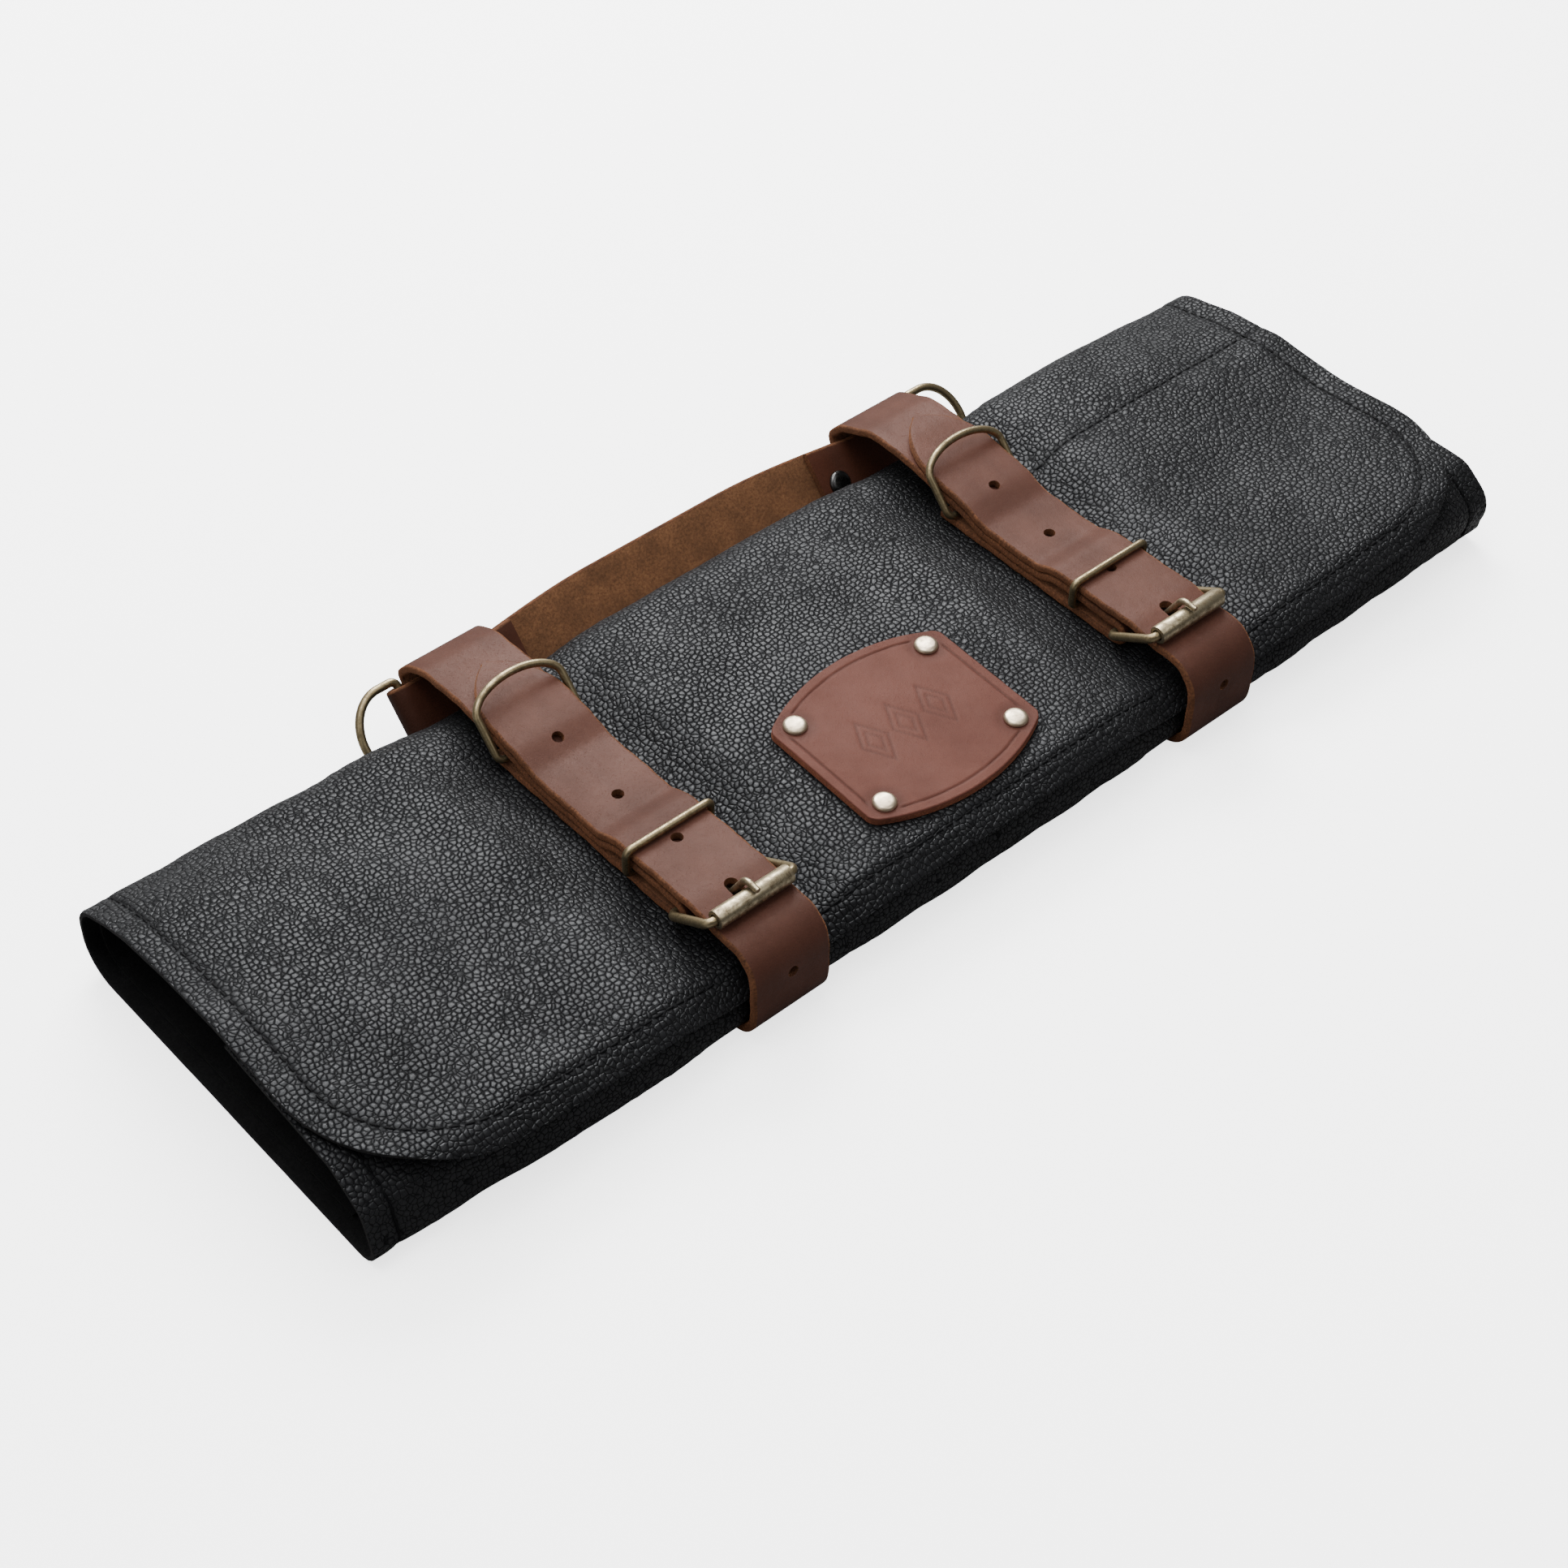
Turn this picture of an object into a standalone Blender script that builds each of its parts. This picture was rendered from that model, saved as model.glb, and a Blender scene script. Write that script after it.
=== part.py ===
"""Leather tool and brush roll, folded in three and held shut by two buckled belts.

The roll lies on its back along X. +Y is the back fold, where the handle is, and +Z is up.
The origin is on the underside of the roll, half way along it. Every length below is in
millimetres and is turned into metres where a mesh or a curve is made.
"""

import math

import bmesh
import bpy
from mathutils import Matrix, Vector

MM = 0.001
GAP = 0.3  # air between pieces that touch in the real thing

# The roll: one sheet of leather, folded front, bottom, back and top.
ROLL_LENGTH = 472.0
LEATHER = 1.8
BACK_FOLD_Y = 74.1  # centre of the leather at the back fold
BELTED_BACK_FOLD_Y = 72.1  # the same where a belt pulls it in
FRONT_WALL_Y = -74.4
BELT_LIFT = 3.3  # the roll's underside lies on the belts by this much
INNER_FLAP_END_Y = -5.0
FLAP_SEPARATION = 1.6  # air between the outer flap and the inner one
FLAP_CORNER = 48.0  # radius of the outer flap's two corners
# Height of the top face along six lines across the roll.
LEVEL_LINES_Y = (58.0, 46.0, 25.0, 0.0, -28.0, -56.0)
MIDDLE_LEVELS = (30.0, 30.9, 31.6, 31.5, 30.4, 29.3)
BELT_LEVELS = (27.0, 24.5, 24.5, 24.5, 24.5, 24.4)
LEFT_END_LEVELS = (33.6, 37.2, 39.7, 40.3, 37.5, 35.0)
RIGHT_END_LEVELS = (27.6, 30.4, 32.2, 31.6, 32.6, 33.2)

# The inner pocket panels, sewn to the sheet inside each end.
PANEL = 1.2
LEFT_PANEL_X = (-231.0, -120.0)
LEFT_PANEL_TOP_Y = 3.0
RIGHT_PANEL_X = (84.0, 227.0)
RIGHT_PANEL_TOP_Y = 33.0

# The belts.
BELT_X = {"left": -90.0, "right": 95.2}
BELT_WIDTH = 29.5
STRAP = 2.8
STRAP_END_WIDTH = 4.0
FRONT_RUN_Y = -78.2
BOTTOM_RUN_Z = STRAP / 2
RETURN_LAYER_Z = BELT_LEVELS[1] + GAP + STRAP / 2
LAYER_PITCH = STRAP + GAP
WIRE = 2.9
RING_WIRE = 2.6
D_RING_Y = {"left": 38.5, "right": 31.5}
D_RING = (16.5, 14.5, 22.8)  # half width, length of its straight arms, height
KEEPER_Y = {"left": -23.0, "right": -26.0}
ARCH_Z = {"left": 36.0, "right": 38.0}  # how high the strap arches off the back of the roll
ARCH_Y = {"left": 79.0, "right": 74.0}  # where it starts to fall
STRAP_TIP_Y = 67.0
HOLE_Y = (1.0, -27.0)
FIRST_HOLE_Y = {"left": 30.5, "right": 27.8}
FRONT_HOLE_Z = 23.0
HOLE = 4.0

# The buckle, one wire frame with a roller on its front bar and a prong on its heel bar.
HEEL_Y = -44.0
HEEL_WIRE = 3.0
FOLD_RADIUS = HEEL_WIRE / 2 + GAP + STRAP / 2
HEEL_Z = RETURN_LAYER_Z + FOLD_RADIUS
FRONT_BAR_Y = -61.0
FRONT_BAR_Z = 40.0
FRAME_HALF_WIDTH = 17.0
ROLLER_DIAMETER = 6.3
ROLLER_BORE = 3.8
ROLLER_LENGTH = 28.6
PRONG_WIRE = 2.6
PRONG_EYE_RADIUS = HEEL_WIRE / 2 + GAP + PRONG_WIRE / 2

# The carrying handle: a strap on edge behind the roll, looped round both belts.
BACK_RUN_LEAN = math.radians(42.0)  # from the vertical, its top leaning outwards
BACK_RUN_FOOT = (75.5, 3.82)
# Its length, up to the sharp bend where the strap turns in over the roll.
BACK_RUN = {"left": 28.0, "right": 28.0}
HANDLE_WIDTH = 25.0
HANDLE_ALONG_RUN = 12.0
HANDLE_LAYER = STRAP / 2 + GAP + STRAP / 2
HANDLE_BOW = 2.6  # outwards at its middle
HANDLE_RISE = 4.4  # and up the back run
HANDLE_RING_FROM_BELT = {"left": 16.6, "right": 20.5}
HANDLE_RING = (15.0, 7.0, 19.5)
HANDLE_RIVET_FROM_BELT = 20.5
HANDLE_FLAP_FROM_BELT = 28.0

# The label patch, with straight sides and arched top and bottom edges.
PATCH_CENTRE = (-1.7, -32.5)
PATCH_HALF_WIDTH = 36.0
PATCH_SIDE_HALF_HEIGHT = 23.5
PATCH_HALF_HEIGHT = 33.5
PATCH = 2.6
PATCH_RIVET_OFFSET = (28.0, 20.5)
RIVET_HEAD = 4.0


# Plane geometry ------------------------------------------------------------------------

def blend(low, high, amount):
    """Smooth step from 0 at low to 1 at high."""
    t = min(1.0, max(0.0, (amount - low) / (high - low)))
    return t * t * (3 - 2 * t)


def rounded(corners, steps):
    """Straight runs between corners (u, v, radius), with each corner between two runs rounded."""
    points = [Vector(corners[0][:2])]
    for before, corner, after in zip(corners, corners[1:], corners[2:]):
        here = Vector(corner[:2])
        inward = (here - Vector(before[:2])).normalized()
        outward = (Vector(after[:2]) - here).normalized()
        turn = inward.angle_signed(outward)
        reach = max(0.3, corner[2] * math.tan(abs(turn) / 2))
        start = here - inward * reach
        end = here + outward * reach
        for step in range(steps + 1):
            t = step / steps
            if abs(turn) < 0.02:
                points.append(start.lerp(end, t))
                continue
            side = Vector((inward.y, -inward.x)) * math.copysign(1.0, turn)
            centre = start + side * reach / math.tan(abs(turn) / 2)
            points.append(centre + Matrix.Rotation(-turn * t, 2) @ (start - centre))
    points.append(Vector(corners[-1][:2]))
    apart = points[:1]
    for point in points[1:]:
        if (point - apart[-1]).length > 0.1:
            apart.append(point)
    return apart


def walked(points, distances):
    """The points at these distances along a polyline."""
    found = []
    for distance in distances:
        left = distance
        for a, b in zip(points, points[1:]):
            run = (b - a).length
            if left <= run or b is points[-1]:
                found.append(a.lerp(b, left / run if run else 0.0))
                break
            left -= run
    return found


def length_of(points):
    return sum((b - a).length for a, b in zip(points, points[1:]))


# Blender objects -----------------------------------------------------------------------

def material(name, color, roughness, metallic=0.0):
    made = bpy.data.materials.new(name)
    made.use_nodes = True
    shader = made.node_tree.nodes["Principled BSDF"]
    shader.inputs["Base Color"].default_value = (*color, 1.0)
    shader.inputs["Roughness"].default_value = roughness
    shader.inputs["Metallic"].default_value = metallic
    return made


def mesh_object(name, points, faces, look=None):
    """A mesh object from points in millimetres, with its faces turned outwards."""
    mesh = bpy.data.meshes.new(name)
    mesh.from_pydata([Vector(p) * MM for p in points], [], faces)
    work = bmesh.new()
    work.from_mesh(mesh)
    bmesh.ops.recalc_face_normals(work, faces=work.faces)
    work.to_mesh(mesh)
    work.free()
    mesh.shade_smooth()
    mesh.set_sharp_from_angle(angle=math.radians(35))
    made = bpy.data.objects.new(name, mesh)
    bpy.context.scene.collection.objects.link(made)
    if look:
        mesh.materials.append(look)
    return made


def sheet(name, rows, thickness, look):
    """A sheet of even thickness about a grid of points, given row by row."""
    wide = len(rows[0])
    faces = [
        (i * wide + j, i * wide + j + 1, (i + 1) * wide + j + 1, (i + 1) * wide + j)
        for i in range(len(rows) - 1)
        for j in range(wide - 1)
    ]
    made = mesh_object(name, [p for row in rows for p in row], faces, look)
    solid = made.modifiers.new("Thickness", "SOLIDIFY")
    solid.thickness = thickness * MM
    solid.offset = 0.0
    solid.use_even_offset = True
    return made


def cut(made, cutter):
    """Takes the cutter's shape out of an object."""
    cutter.hide_render = True
    cutter.display_type = "WIRE"
    boolean = made.modifiers.new("Cut " + cutter.name, "BOOLEAN")
    boolean.operation = "DIFFERENCE"
    boolean.object = cutter


def wire(name, points, diameter, look, closed=True):
    """Round wire bent along points."""
    curve = bpy.data.curves.new(name, "CURVE")
    curve.dimensions = "3D"
    curve.twist_mode = "MINIMUM"
    curve.bevel_depth = diameter / 2 * MM
    curve.bevel_resolution = 2
    curve.use_fill_caps = not closed
    spline = curve.splines.new("POLY")
    spline.points.add(len(points) - 1)
    for target, point in zip(spline.points, points):
        target.co = (*(Vector(point) * MM), 1.0)
    spline.use_cyclic_u = closed
    made = bpy.data.objects.new(name, curve)
    bpy.context.scene.collection.objects.link(made)
    curve.materials.append(look)
    return made


def turned_faces(profile, centre, axis, sides):
    """Points and faces of a closed profile (radius, height) turned about an axis."""
    turn = Vector((0, 0, 1)).rotation_difference(Vector(axis)).to_matrix()
    points = []
    for k in range(sides):
        angle = 2 * math.pi * k / sides
        for radius, height in profile:
            spoke = Vector((radius * math.cos(angle), radius * math.sin(angle), height))
            points.append(Vector(centre) + turn @ spoke)
    count = len(profile)
    faces = [
        (
            k * count + j,
            k * count + (j + 1) % count,
            (k + 1) % sides * count + (j + 1) % count,
            (k + 1) % sides * count + j,
        )
        for k in range(sides)
        for j in range(count)
    ]
    return points, faces


def turned(name, profile, centre, axis, look=None, sides=20):
    """A solid turned about an axis. A radius of 0 is a point on the axis, made one vertex."""
    points, faces = turned_faces(profile, centre, axis, sides)
    made = mesh_object(name, points, faces, look)
    work = bmesh.new()
    work.from_mesh(made.data)
    bmesh.ops.remove_doubles(work, verts=work.verts, dist=1e-7)
    bmesh.ops.dissolve_degenerate(work, edges=work.edges, dist=1e-8)
    bmesh.ops.recalc_face_normals(work, faces=work.faces)
    work.to_mesh(made.data)
    work.free()
    return made


def pivoted(made, pivot):
    """Puts an object's origin here, on the axis it turns about or slides from."""
    made.data.transform(Matrix.Translation(-Vector(pivot) * MM))
    made.location = Vector(pivot) * MM
    return made


def spool(low, high, radius, low_head, high_head):
    """Profile of a post from low to high with a head (radius, thickness) at each end."""
    return [
        (0.0, low - low_head[1]),
        (low_head[0] * 0.8, low - low_head[1]),
        (low_head[0], low - low_head[1] * 0.5),
        (low_head[0], low),
        (radius, low),
        (radius, high),
        (high_head[0], high),
        (high_head[0], high + high_head[1] * 0.45),
        (high_head[0] * 0.72, high + high_head[1] * 0.88),
        (0.0, high + high_head[1]),
    ]


def cylinder_points(centre, axis, radius, low, high, sides=16):
    """Points and faces of a closed cylinder from low to high along an axis."""
    turn = Vector((0, 0, 1)).rotation_difference(Vector(axis)).to_matrix()
    points = []
    for height in (low, high):
        for k in range(sides):
            angle = 2 * math.pi * k / sides
            spoke = Vector((radius * math.cos(angle), radius * math.sin(angle), height))
            points.append(Vector(centre) + turn @ spoke)
    faces = [(k, (k + 1) % sides, sides + (k + 1) % sides, sides + k) for k in range(sides)]
    faces.append(tuple(reversed(range(sides))))
    faces.append(tuple(range(sides, 2 * sides)))
    return points, faces


def prism_points(outline, low, high):
    """Points and faces of an outline (x, y) extruded from low to high along Z."""
    count = len(outline)
    points = [(x, y, z) for z in (low, high) for x, y in outline]
    faces = [(k, (k + 1) % count, count + (k + 1) % count, count + k) for k in range(count)]
    faces.append(tuple(reversed(range(count))))
    faces.append(tuple(range(count, 2 * count)))
    return points, faces


def joined(name, shapes):
    """One cutter object made of several separate closed shapes."""
    points = []
    faces = []
    for shape_points, shape_faces in shapes:
        start = len(points)
        points += shape_points
        faces += [tuple(start + index for index in face) for face in shape_faces]
    return mesh_object(name, points, faces)


# The roll ------------------------------------------------------------------------------

def belted(x):
    """1 under a belt, 0 well away from both."""
    return max(blend(42.0, 17.0, abs(x - centre)) for centre in BELT_X.values())


def levels(x):
    """Height of the roll's top face along LEVEL_LINES_Y at this place along it."""
    left = blend(-140.0, -ROLL_LENGTH / 2, x)
    right = blend(140.0, ROLL_LENGTH / 2, x)
    fuller = blend(120.0, 168.0, x) * blend(232.0, 175.0, x)
    return [
        middle
        + (belt - middle) * belted(x)
        + (left_end - middle) * left
        + (right_end - middle) * right
        + fuller * (2.6 if number < 2 else 0.0)
        for number, (middle, belt, left_end, right_end) in enumerate(
            zip(MIDDLE_LEVELS, BELT_LEVELS, LEFT_END_LEVELS, RIGHT_END_LEVELS)
        )
    ]


def back_fold(x, inset):
    """Corners of the back fold, from the bottom to the top flap, this far inside the leather."""
    bottom = BELT_LIFT * belted(x) + LEATHER / 2
    sunk = 6.5 * blend(-140.0, -ROLL_LENGTH / 2, x) + 2.5 * blend(140.0, ROLL_LENGTH / 2, x)
    top = levels(x)[0] - LEATHER / 2 - 0.8 - sunk
    y = BACK_FOLD_Y + (BELTED_BACK_FOLD_Y - BACK_FOLD_Y) * belted(x)
    radius = (top - bottom) * 0.48
    return [
        (y - inset, bottom + inset, radius - inset),
        (y - inset, top - inset, radius - inset),
    ]


def top_flap(x, inset):
    """Corners of the outer flap across the top, from the back towards the front."""
    return [
        (y, level - LEATHER / 2 - inset, 30.0)
        for y, level in zip(LEVEL_LINES_Y, levels(x))
    ]


def flap_cut_back(x):
    """How far the outer flap's rounded corner draws its edge back at this place along it."""
    past = max(0.0, abs(x) - (ROLL_LENGTH / 2 - FLAP_CORNER))
    return FLAP_CORNER - math.sqrt(max(0.0, FLAP_CORNER**2 - past**2))


def roll_section(x, flap_points=16):
    """Middle line of the leather at this place along the roll, from inner flap to outer."""
    left = blend(-140.0, -ROLL_LENGTH / 2, x)
    right = blend(140.0, ROLL_LENGTH / 2, x)
    rounder = blend(112.0, 150.0, x)
    heights = levels(x)
    bottom = BELT_LIFT * belted(x) + LEATHER / 2
    inner = -LEATHER / 2 - LEATHER - FLAP_SEPARATION
    front = heights[5]
    inside = [
        (INNER_FLAP_END_Y, heights[3] - 0.2 + inner, 0.0),
        (LEVEL_LINES_Y[4], heights[4] + inner, 30.0),
        (-62.0 + 8.0 * left, front - 0.3 + inner, 8.0),
        (FRONT_WALL_Y + 7.0 * left, front - 13.5 + 2.5 * belted(x), 9.0 - 3.5 * belted(x)),
        (FRONT_WALL_Y + 1.5 * left + 2.5 * right, bottom, 7.0 - 2.2 * belted(x) + 3.0 * rounder),
    ]
    first = rounded(inside + back_fold(x, 0.0) + top_flap(x, 0.0)[:1], 3)
    flap = top_flap(x, 0.0)
    flap.append((-69.0 + belted(x), front - 0.5 - LEATHER / 2, 10.0))
    flap.append((-76.3 + 1.6 * belted(x), front - 8.0, 0.0))
    full = rounded(flap, 4)
    whole = length_of(full) - flap_cut_back(x)
    return first[:-1] + walked(full, [whole * k / flap_points for k in range(flap_points + 1)])


def stations():
    """Places along the roll where its section is taken, closer where it changes."""
    half = ROLL_LENGTH / 2
    near_end = [half, half - 3, half - 9, half - 18, half - 30, half - 48, half - 75]
    found = {-x for x in near_end} | set(near_end) | {-14.0, 18.0}
    for centre in BELT_X.values():
        found |= {centre + side * away for side in (-1, 1) for away in (42, 36, 29.5, 23, 16.9)}
    return sorted(found)


def make_roll(black):
    rows = [[(x, *point) for point in roll_section(x)] for x in stations()]
    shell = sheet("leather_shell", rows, LEATHER, black)
    holes = [
        cylinder_points(patch_point(*spot, 0.0), patch_normal(), 2.1, -2.5, 1.0, 12)
        for spot in patch_rivets()
    ]
    cut(shell, joined("shell_rivet_holes", holes))


def make_pocket_panels(black):
    """Each panel lines one end: along the bottom, round the back fold and under the flap."""
    inset = LEATHER / 2 + 2 * GAP + PANEL / 2
    for name, (start, end), top_y in (
        ("pocket_panel_left", LEFT_PANEL_X, LEFT_PANEL_TOP_Y),
        ("pocket_panel_right", RIGHT_PANEL_X, RIGHT_PANEL_TOP_Y),
    ):
        rows = []
        for x in [start] + [x for x in stations() if start + 2 < x < end - 2] + [end]:
            bottom = BELT_LIFT * belted(x) + LEATHER / 2 + inset
            corners = [(-54.0, bottom, 0.0)] + back_fold(x, inset)
            flap = top_flap(x, inset)
            passed = [corner for corner in flap if corner[0] > top_y + 4]
            ahead = flap[len(passed)]
            last = passed[-1]
            slope = (ahead[1] - last[1]) / (ahead[0] - last[0])
            corners += passed + [(top_y, last[1] + slope * (top_y - last[0]), 0.0)]
            rows.append([(x, *point) for point in rounded(corners, 3)])
        sheet(name, rows, PANEL, black)


# The label patch -----------------------------------------------------------------------

def patch_slope():
    rise = MIDDLE_LEVELS[3] - MIDDLE_LEVELS[5]
    return math.atan2(rise, LEVEL_LINES_Y[3] - LEVEL_LINES_Y[5])


def patch_normal():
    return Vector((0.0, -math.sin(patch_slope()), math.cos(patch_slope())))


def patch_point(x, y, height):
    """A point over the patch, at a height above the roll's top face there."""
    level = MIDDLE_LEVELS[3] + math.tan(patch_slope()) * (PATCH_CENTRE[1] + y)
    return Vector((PATCH_CENTRE[0] + x, PATCH_CENTRE[1] + y, level)) + patch_normal() * height


def patch_rivets():
    across, along = PATCH_RIVET_OFFSET
    return [(sx * across, sy * along) for sx in (-1, 1) for sy in (-1, 1)]


def patch_outline():
    """Two straight sides joined by two shallow arcs, with small rounded corners."""
    sagitta = PATCH_HALF_HEIGHT - PATCH_SIDE_HALF_HEIGHT
    radius = (PATCH_HALF_WIDTH**2 + sagitta**2) / (2 * sagitta)
    half_angle = math.asin(PATCH_HALF_WIDTH / radius)
    corner = math.radians(2.6)
    outline = []
    for side in (1, -1):
        centre = side * (PATCH_HALF_HEIGHT - radius)
        for k in range(13):
            angle = (half_angle - corner) * (1 - k / 6) * side
            x = radius * math.sin(angle)
            outline.append((x, centre + side * radius * math.cos(angle)))
        edge = -side * PATCH_HALF_WIDTH
        outline.append((edge, side * (PATCH_SIDE_HALF_HEIGHT - 2.6)))
        outline.append((edge, -side * (PATCH_SIDE_HALF_HEIGHT - 2.6)))
    return outline


def make_patch(brown, pale_metal):
    points, faces = prism_points(patch_outline(), GAP, GAP + PATCH)
    placed = [patch_point(x, y, height) for x, y, height in points]
    patch = mesh_object("label_patch", placed, faces, brown)
    holes = [
        cylinder_points(patch_point(*spot, 0.0), patch_normal(), 2.1, -0.5, PATCH + 1.5, 12)
        for spot in patch_rivets()
    ]
    cut(patch, joined("patch_rivet_holes", holes))
    profile = spool(-LEATHER - GAP, PATCH + 2 * GAP, 1.7, (3.2, 0.7), (RIVET_HEAD, 1.2))
    for number, spot in enumerate(patch_rivets(), 1):
        centre = patch_point(*spot, 0.0)
        turned(f"patch_rivet_{number}", profile, centre, patch_normal(), pale_metal, 16)


# The belts -----------------------------------------------------------------------------

def back_run(distance):
    """A point on the belt's straight run behind the roll, this far up from its foot."""
    return (
        BACK_RUN_FOOT[0] + math.sin(BACK_RUN_LEAN) * distance,
        BACK_RUN_FOOT[1] + math.cos(BACK_RUN_LEAN) * distance,
    )


def strap_corners(side):
    """The strap's middle line in the YZ plane, from its folded end round the roll to its tip."""
    ring = D_RING_Y[side]
    arch = ARCH_Z[side]
    lower = RETURN_LAYER_Z
    heel_top = HEEL_Z + FOLD_RADIUS
    flat = lower + LAYER_PITCH
    over_bar = lower + STRAP + WIRE + 2 * GAP
    turn_y = HEEL_Y - FOLD_RADIUS
    arch_low = back_run(BACK_RUN[side])
    foot = back_run((BOTTOM_RUN_Z - BACK_RUN_FOOT[1]) / math.cos(BACK_RUN_LEAN))
    return [
        (ring + 6.0, lower, 0.0),
        (turn_y, lower, FOLD_RADIUS),
        (turn_y, heel_top, FOLD_RADIUS),
        (-16.0, heel_top, 9.0),
        (-8.0, flat, 9.0),
        (ring - 14.0, flat, 12.0),
        (ring - 5.0, over_bar, 8.0),
        (60.0, arch, 30.0),
        (ARCH_Y[side], arch - 0.4, 14.0),
        (arch_low[0] - 5.6, arch_low[1] + 6.6, 9.0),
        (arch_low[0], arch_low[1], 3.0),
        (foot[0], foot[1], 7.0),
        (FRONT_RUN_Y, BOTTOM_RUN_Z, 10.0),
        (FRONT_RUN_Y, FRONT_BAR_Z - 5.1, 11.5),
        (-62.0, FRONT_BAR_Z - 5.1, 14.0),
        (-50.0, heel_top + LAYER_PITCH + 0.9, 14.0),
        (-15.5, heel_top + LAYER_PITCH + 0.1, 9.0),
        (-7.5, flat + LAYER_PITCH, 9.0),
        (ring - 14.5, flat + LAYER_PITCH, 12.0),
        (ring - 5.5, over_bar + LAYER_PITCH + 0.1, 8.0),
        (60.0, arch + LAYER_PITCH + 0.1, 30.0),
        (STRAP_TIP_Y, arch + LAYER_PITCH + 0.1, 0.0),
    ]


def on_top_layer(side, y):
    """Height and slope of the strap's top layer at this place across the roll."""
    corners = strap_corners(side)[-7:]
    for here, there in zip(corners, corners[1:]):
        if here[0] <= y < there[0]:
            rise = (there[1] - here[1]) / (there[0] - here[0])
            return here[1] + rise * (y - here[0]), math.atan(rise)


def strap_rows(side):
    """The strap's two edges along its middle line, drawn in to a point at its tip."""
    line = rounded(strap_corners(side), 6)
    total = length_of(line)
    done = 0.0
    rows = []
    taper = 20.0
    tail = [total - taper * (1 - k / 5) for k in range(6)]
    body = []
    for before, point in zip([None] + line, line):
        done += (point - before).length if before else 0.0
        if done < total - taper - 1.0:
            body.append((done, point))
    samples = body + list(zip(tail, walked(line, tail)))
    for done, point in samples:
        left = max(0.0, 1 - (total - done) / taper)
        half = BELT_WIDTH / 2 - (BELT_WIDTH - STRAP_END_WIDTH) / 2 * left**2
        x = BELT_X[side]
        rows.append([(x - half, *point), (x + half, *point)])
    return rows


def strap_cutter(side):
    """The strap's holes: for the prong, for adjustment, and for its two fold rivets."""
    x = BELT_X[side]
    shapes = []
    top = HEEL_Z + FOLD_RADIUS + LAYER_PITCH
    upper = RETURN_LAYER_Z + 2 * LAYER_PITCH
    for y, z in ((HOLE_Y[0], upper), (HOLE_Y[1], top)):
        shapes.append(cylinder_points((x, y, z), (0, 0, 1), HOLE / 2, -1.6, 3.5))
    height, slope = on_top_layer(side, FIRST_HOLE_Y[side])
    first = (x, FIRST_HOLE_Y[side], height)
    shapes.append(
        cylinder_points(first, (0, -math.sin(slope), math.cos(slope)), HOLE / 2, -1.6, 3.0)
    )
    front = (x, FRONT_RUN_Y, FRONT_HOLE_Z)
    shapes.append(cylinder_points(front, (0, 1, 0), HOLE / 2, -2.5, 2.5))
    oblong = []
    for k in range(16):
        angle = 2 * math.pi * k / 16
        end = math.copysign(1.0, math.sin(angle + 1e-6))
        oblong.append((x + 2.1 * math.cos(angle), -53.3 + 1.1 * end + 2.1 * math.sin(angle)))
    shapes.append(prism_points(oblong, 34.0, 39.2))
    slot = [(x - 3.2, -50.5), (x + 3.2, -50.5), (x + 3.2, -38.5), (x - 3.2, -38.5)]
    shapes.append(prism_points(slot, RETURN_LAYER_Z - 3.0, HEEL_Z + FOLD_RADIUS + STRAP / 2 + 0.1))
    for y in fold_rivet_ys(side):
        low = RETURN_LAYER_Z - STRAP / 2
        high = low + 2 * STRAP + GAP
        recess = seat_profile(low + 1.0, high - 1.0, 2.0, 4.1, 1.12)
        shapes.append(spun(recess, (x, y, 0.0)))
    return joined(f"strap_cutter_{side}", shapes)


def seat_profile(low, high, radius, head, depth):
    """Profile of a rivet's hole from low to high, with a wider round recess at each end."""
    return [
        (0.0, low - depth),
        (head, low - depth),
        (head, low),
        (radius, low),
        (radius, high),
        (head, high),
        (head, high + depth),
        (0.0, high + depth),
    ]


def spun(profile, centre, axis=(0, 0, 1), sides=16):
    """Points and faces of a profile that starts and ends on an axis, turned about it."""
    turn = Vector((0, 0, 1)).rotation_difference(Vector(axis)).to_matrix()
    inner = profile[1:-1]
    count = len(inner)
    points = [Vector(centre) + turn @ Vector((0, 0, profile[end][1])) for end in (0, -1)]
    for k in range(sides):
        angle = 2 * math.pi * k / sides
        for radius, height in inner:
            spoke = Vector((radius * math.cos(angle), radius * math.sin(angle), height))
            points.append(Vector(centre) + turn @ spoke)
    faces = []
    for k in range(sides):
        here = 2 + k * count
        there = 2 + (k + 1) % sides * count
        faces.append((0, there, here))
        faces.append((1, here + count - 1, there + count - 1))
        faces += [(here + j, there + j, there + j + 1, here + j + 1) for j in range(count - 1)]
    return points, faces


def fold_rivet_ys(side):
    """Where two rivets hold the strap's folded end shut."""
    return (-1.5, D_RING_Y[side] - 19.5)


def d_ring_points(half, straight, height, corner=2.4):
    """The middle line of a D-ring, its straight bar on the U axis and its bow towards +V."""
    points = []
    for side in (-1, 1):
        turn = []
        for k in range(4):
            angle = math.pi / 2 * k / 3
            turn.append(
                (side * (half - corner + corner * math.sin(angle)), corner * (1 - math.cos(angle)))
            )
        points += turn if side == 1 else list(reversed(turn))
    bow = []
    for k in range(15):
        angle = math.pi * k / 14
        bow.append((half * math.cos(angle), straight + (height - straight) * math.sin(angle)))
    return points + bow


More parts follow.
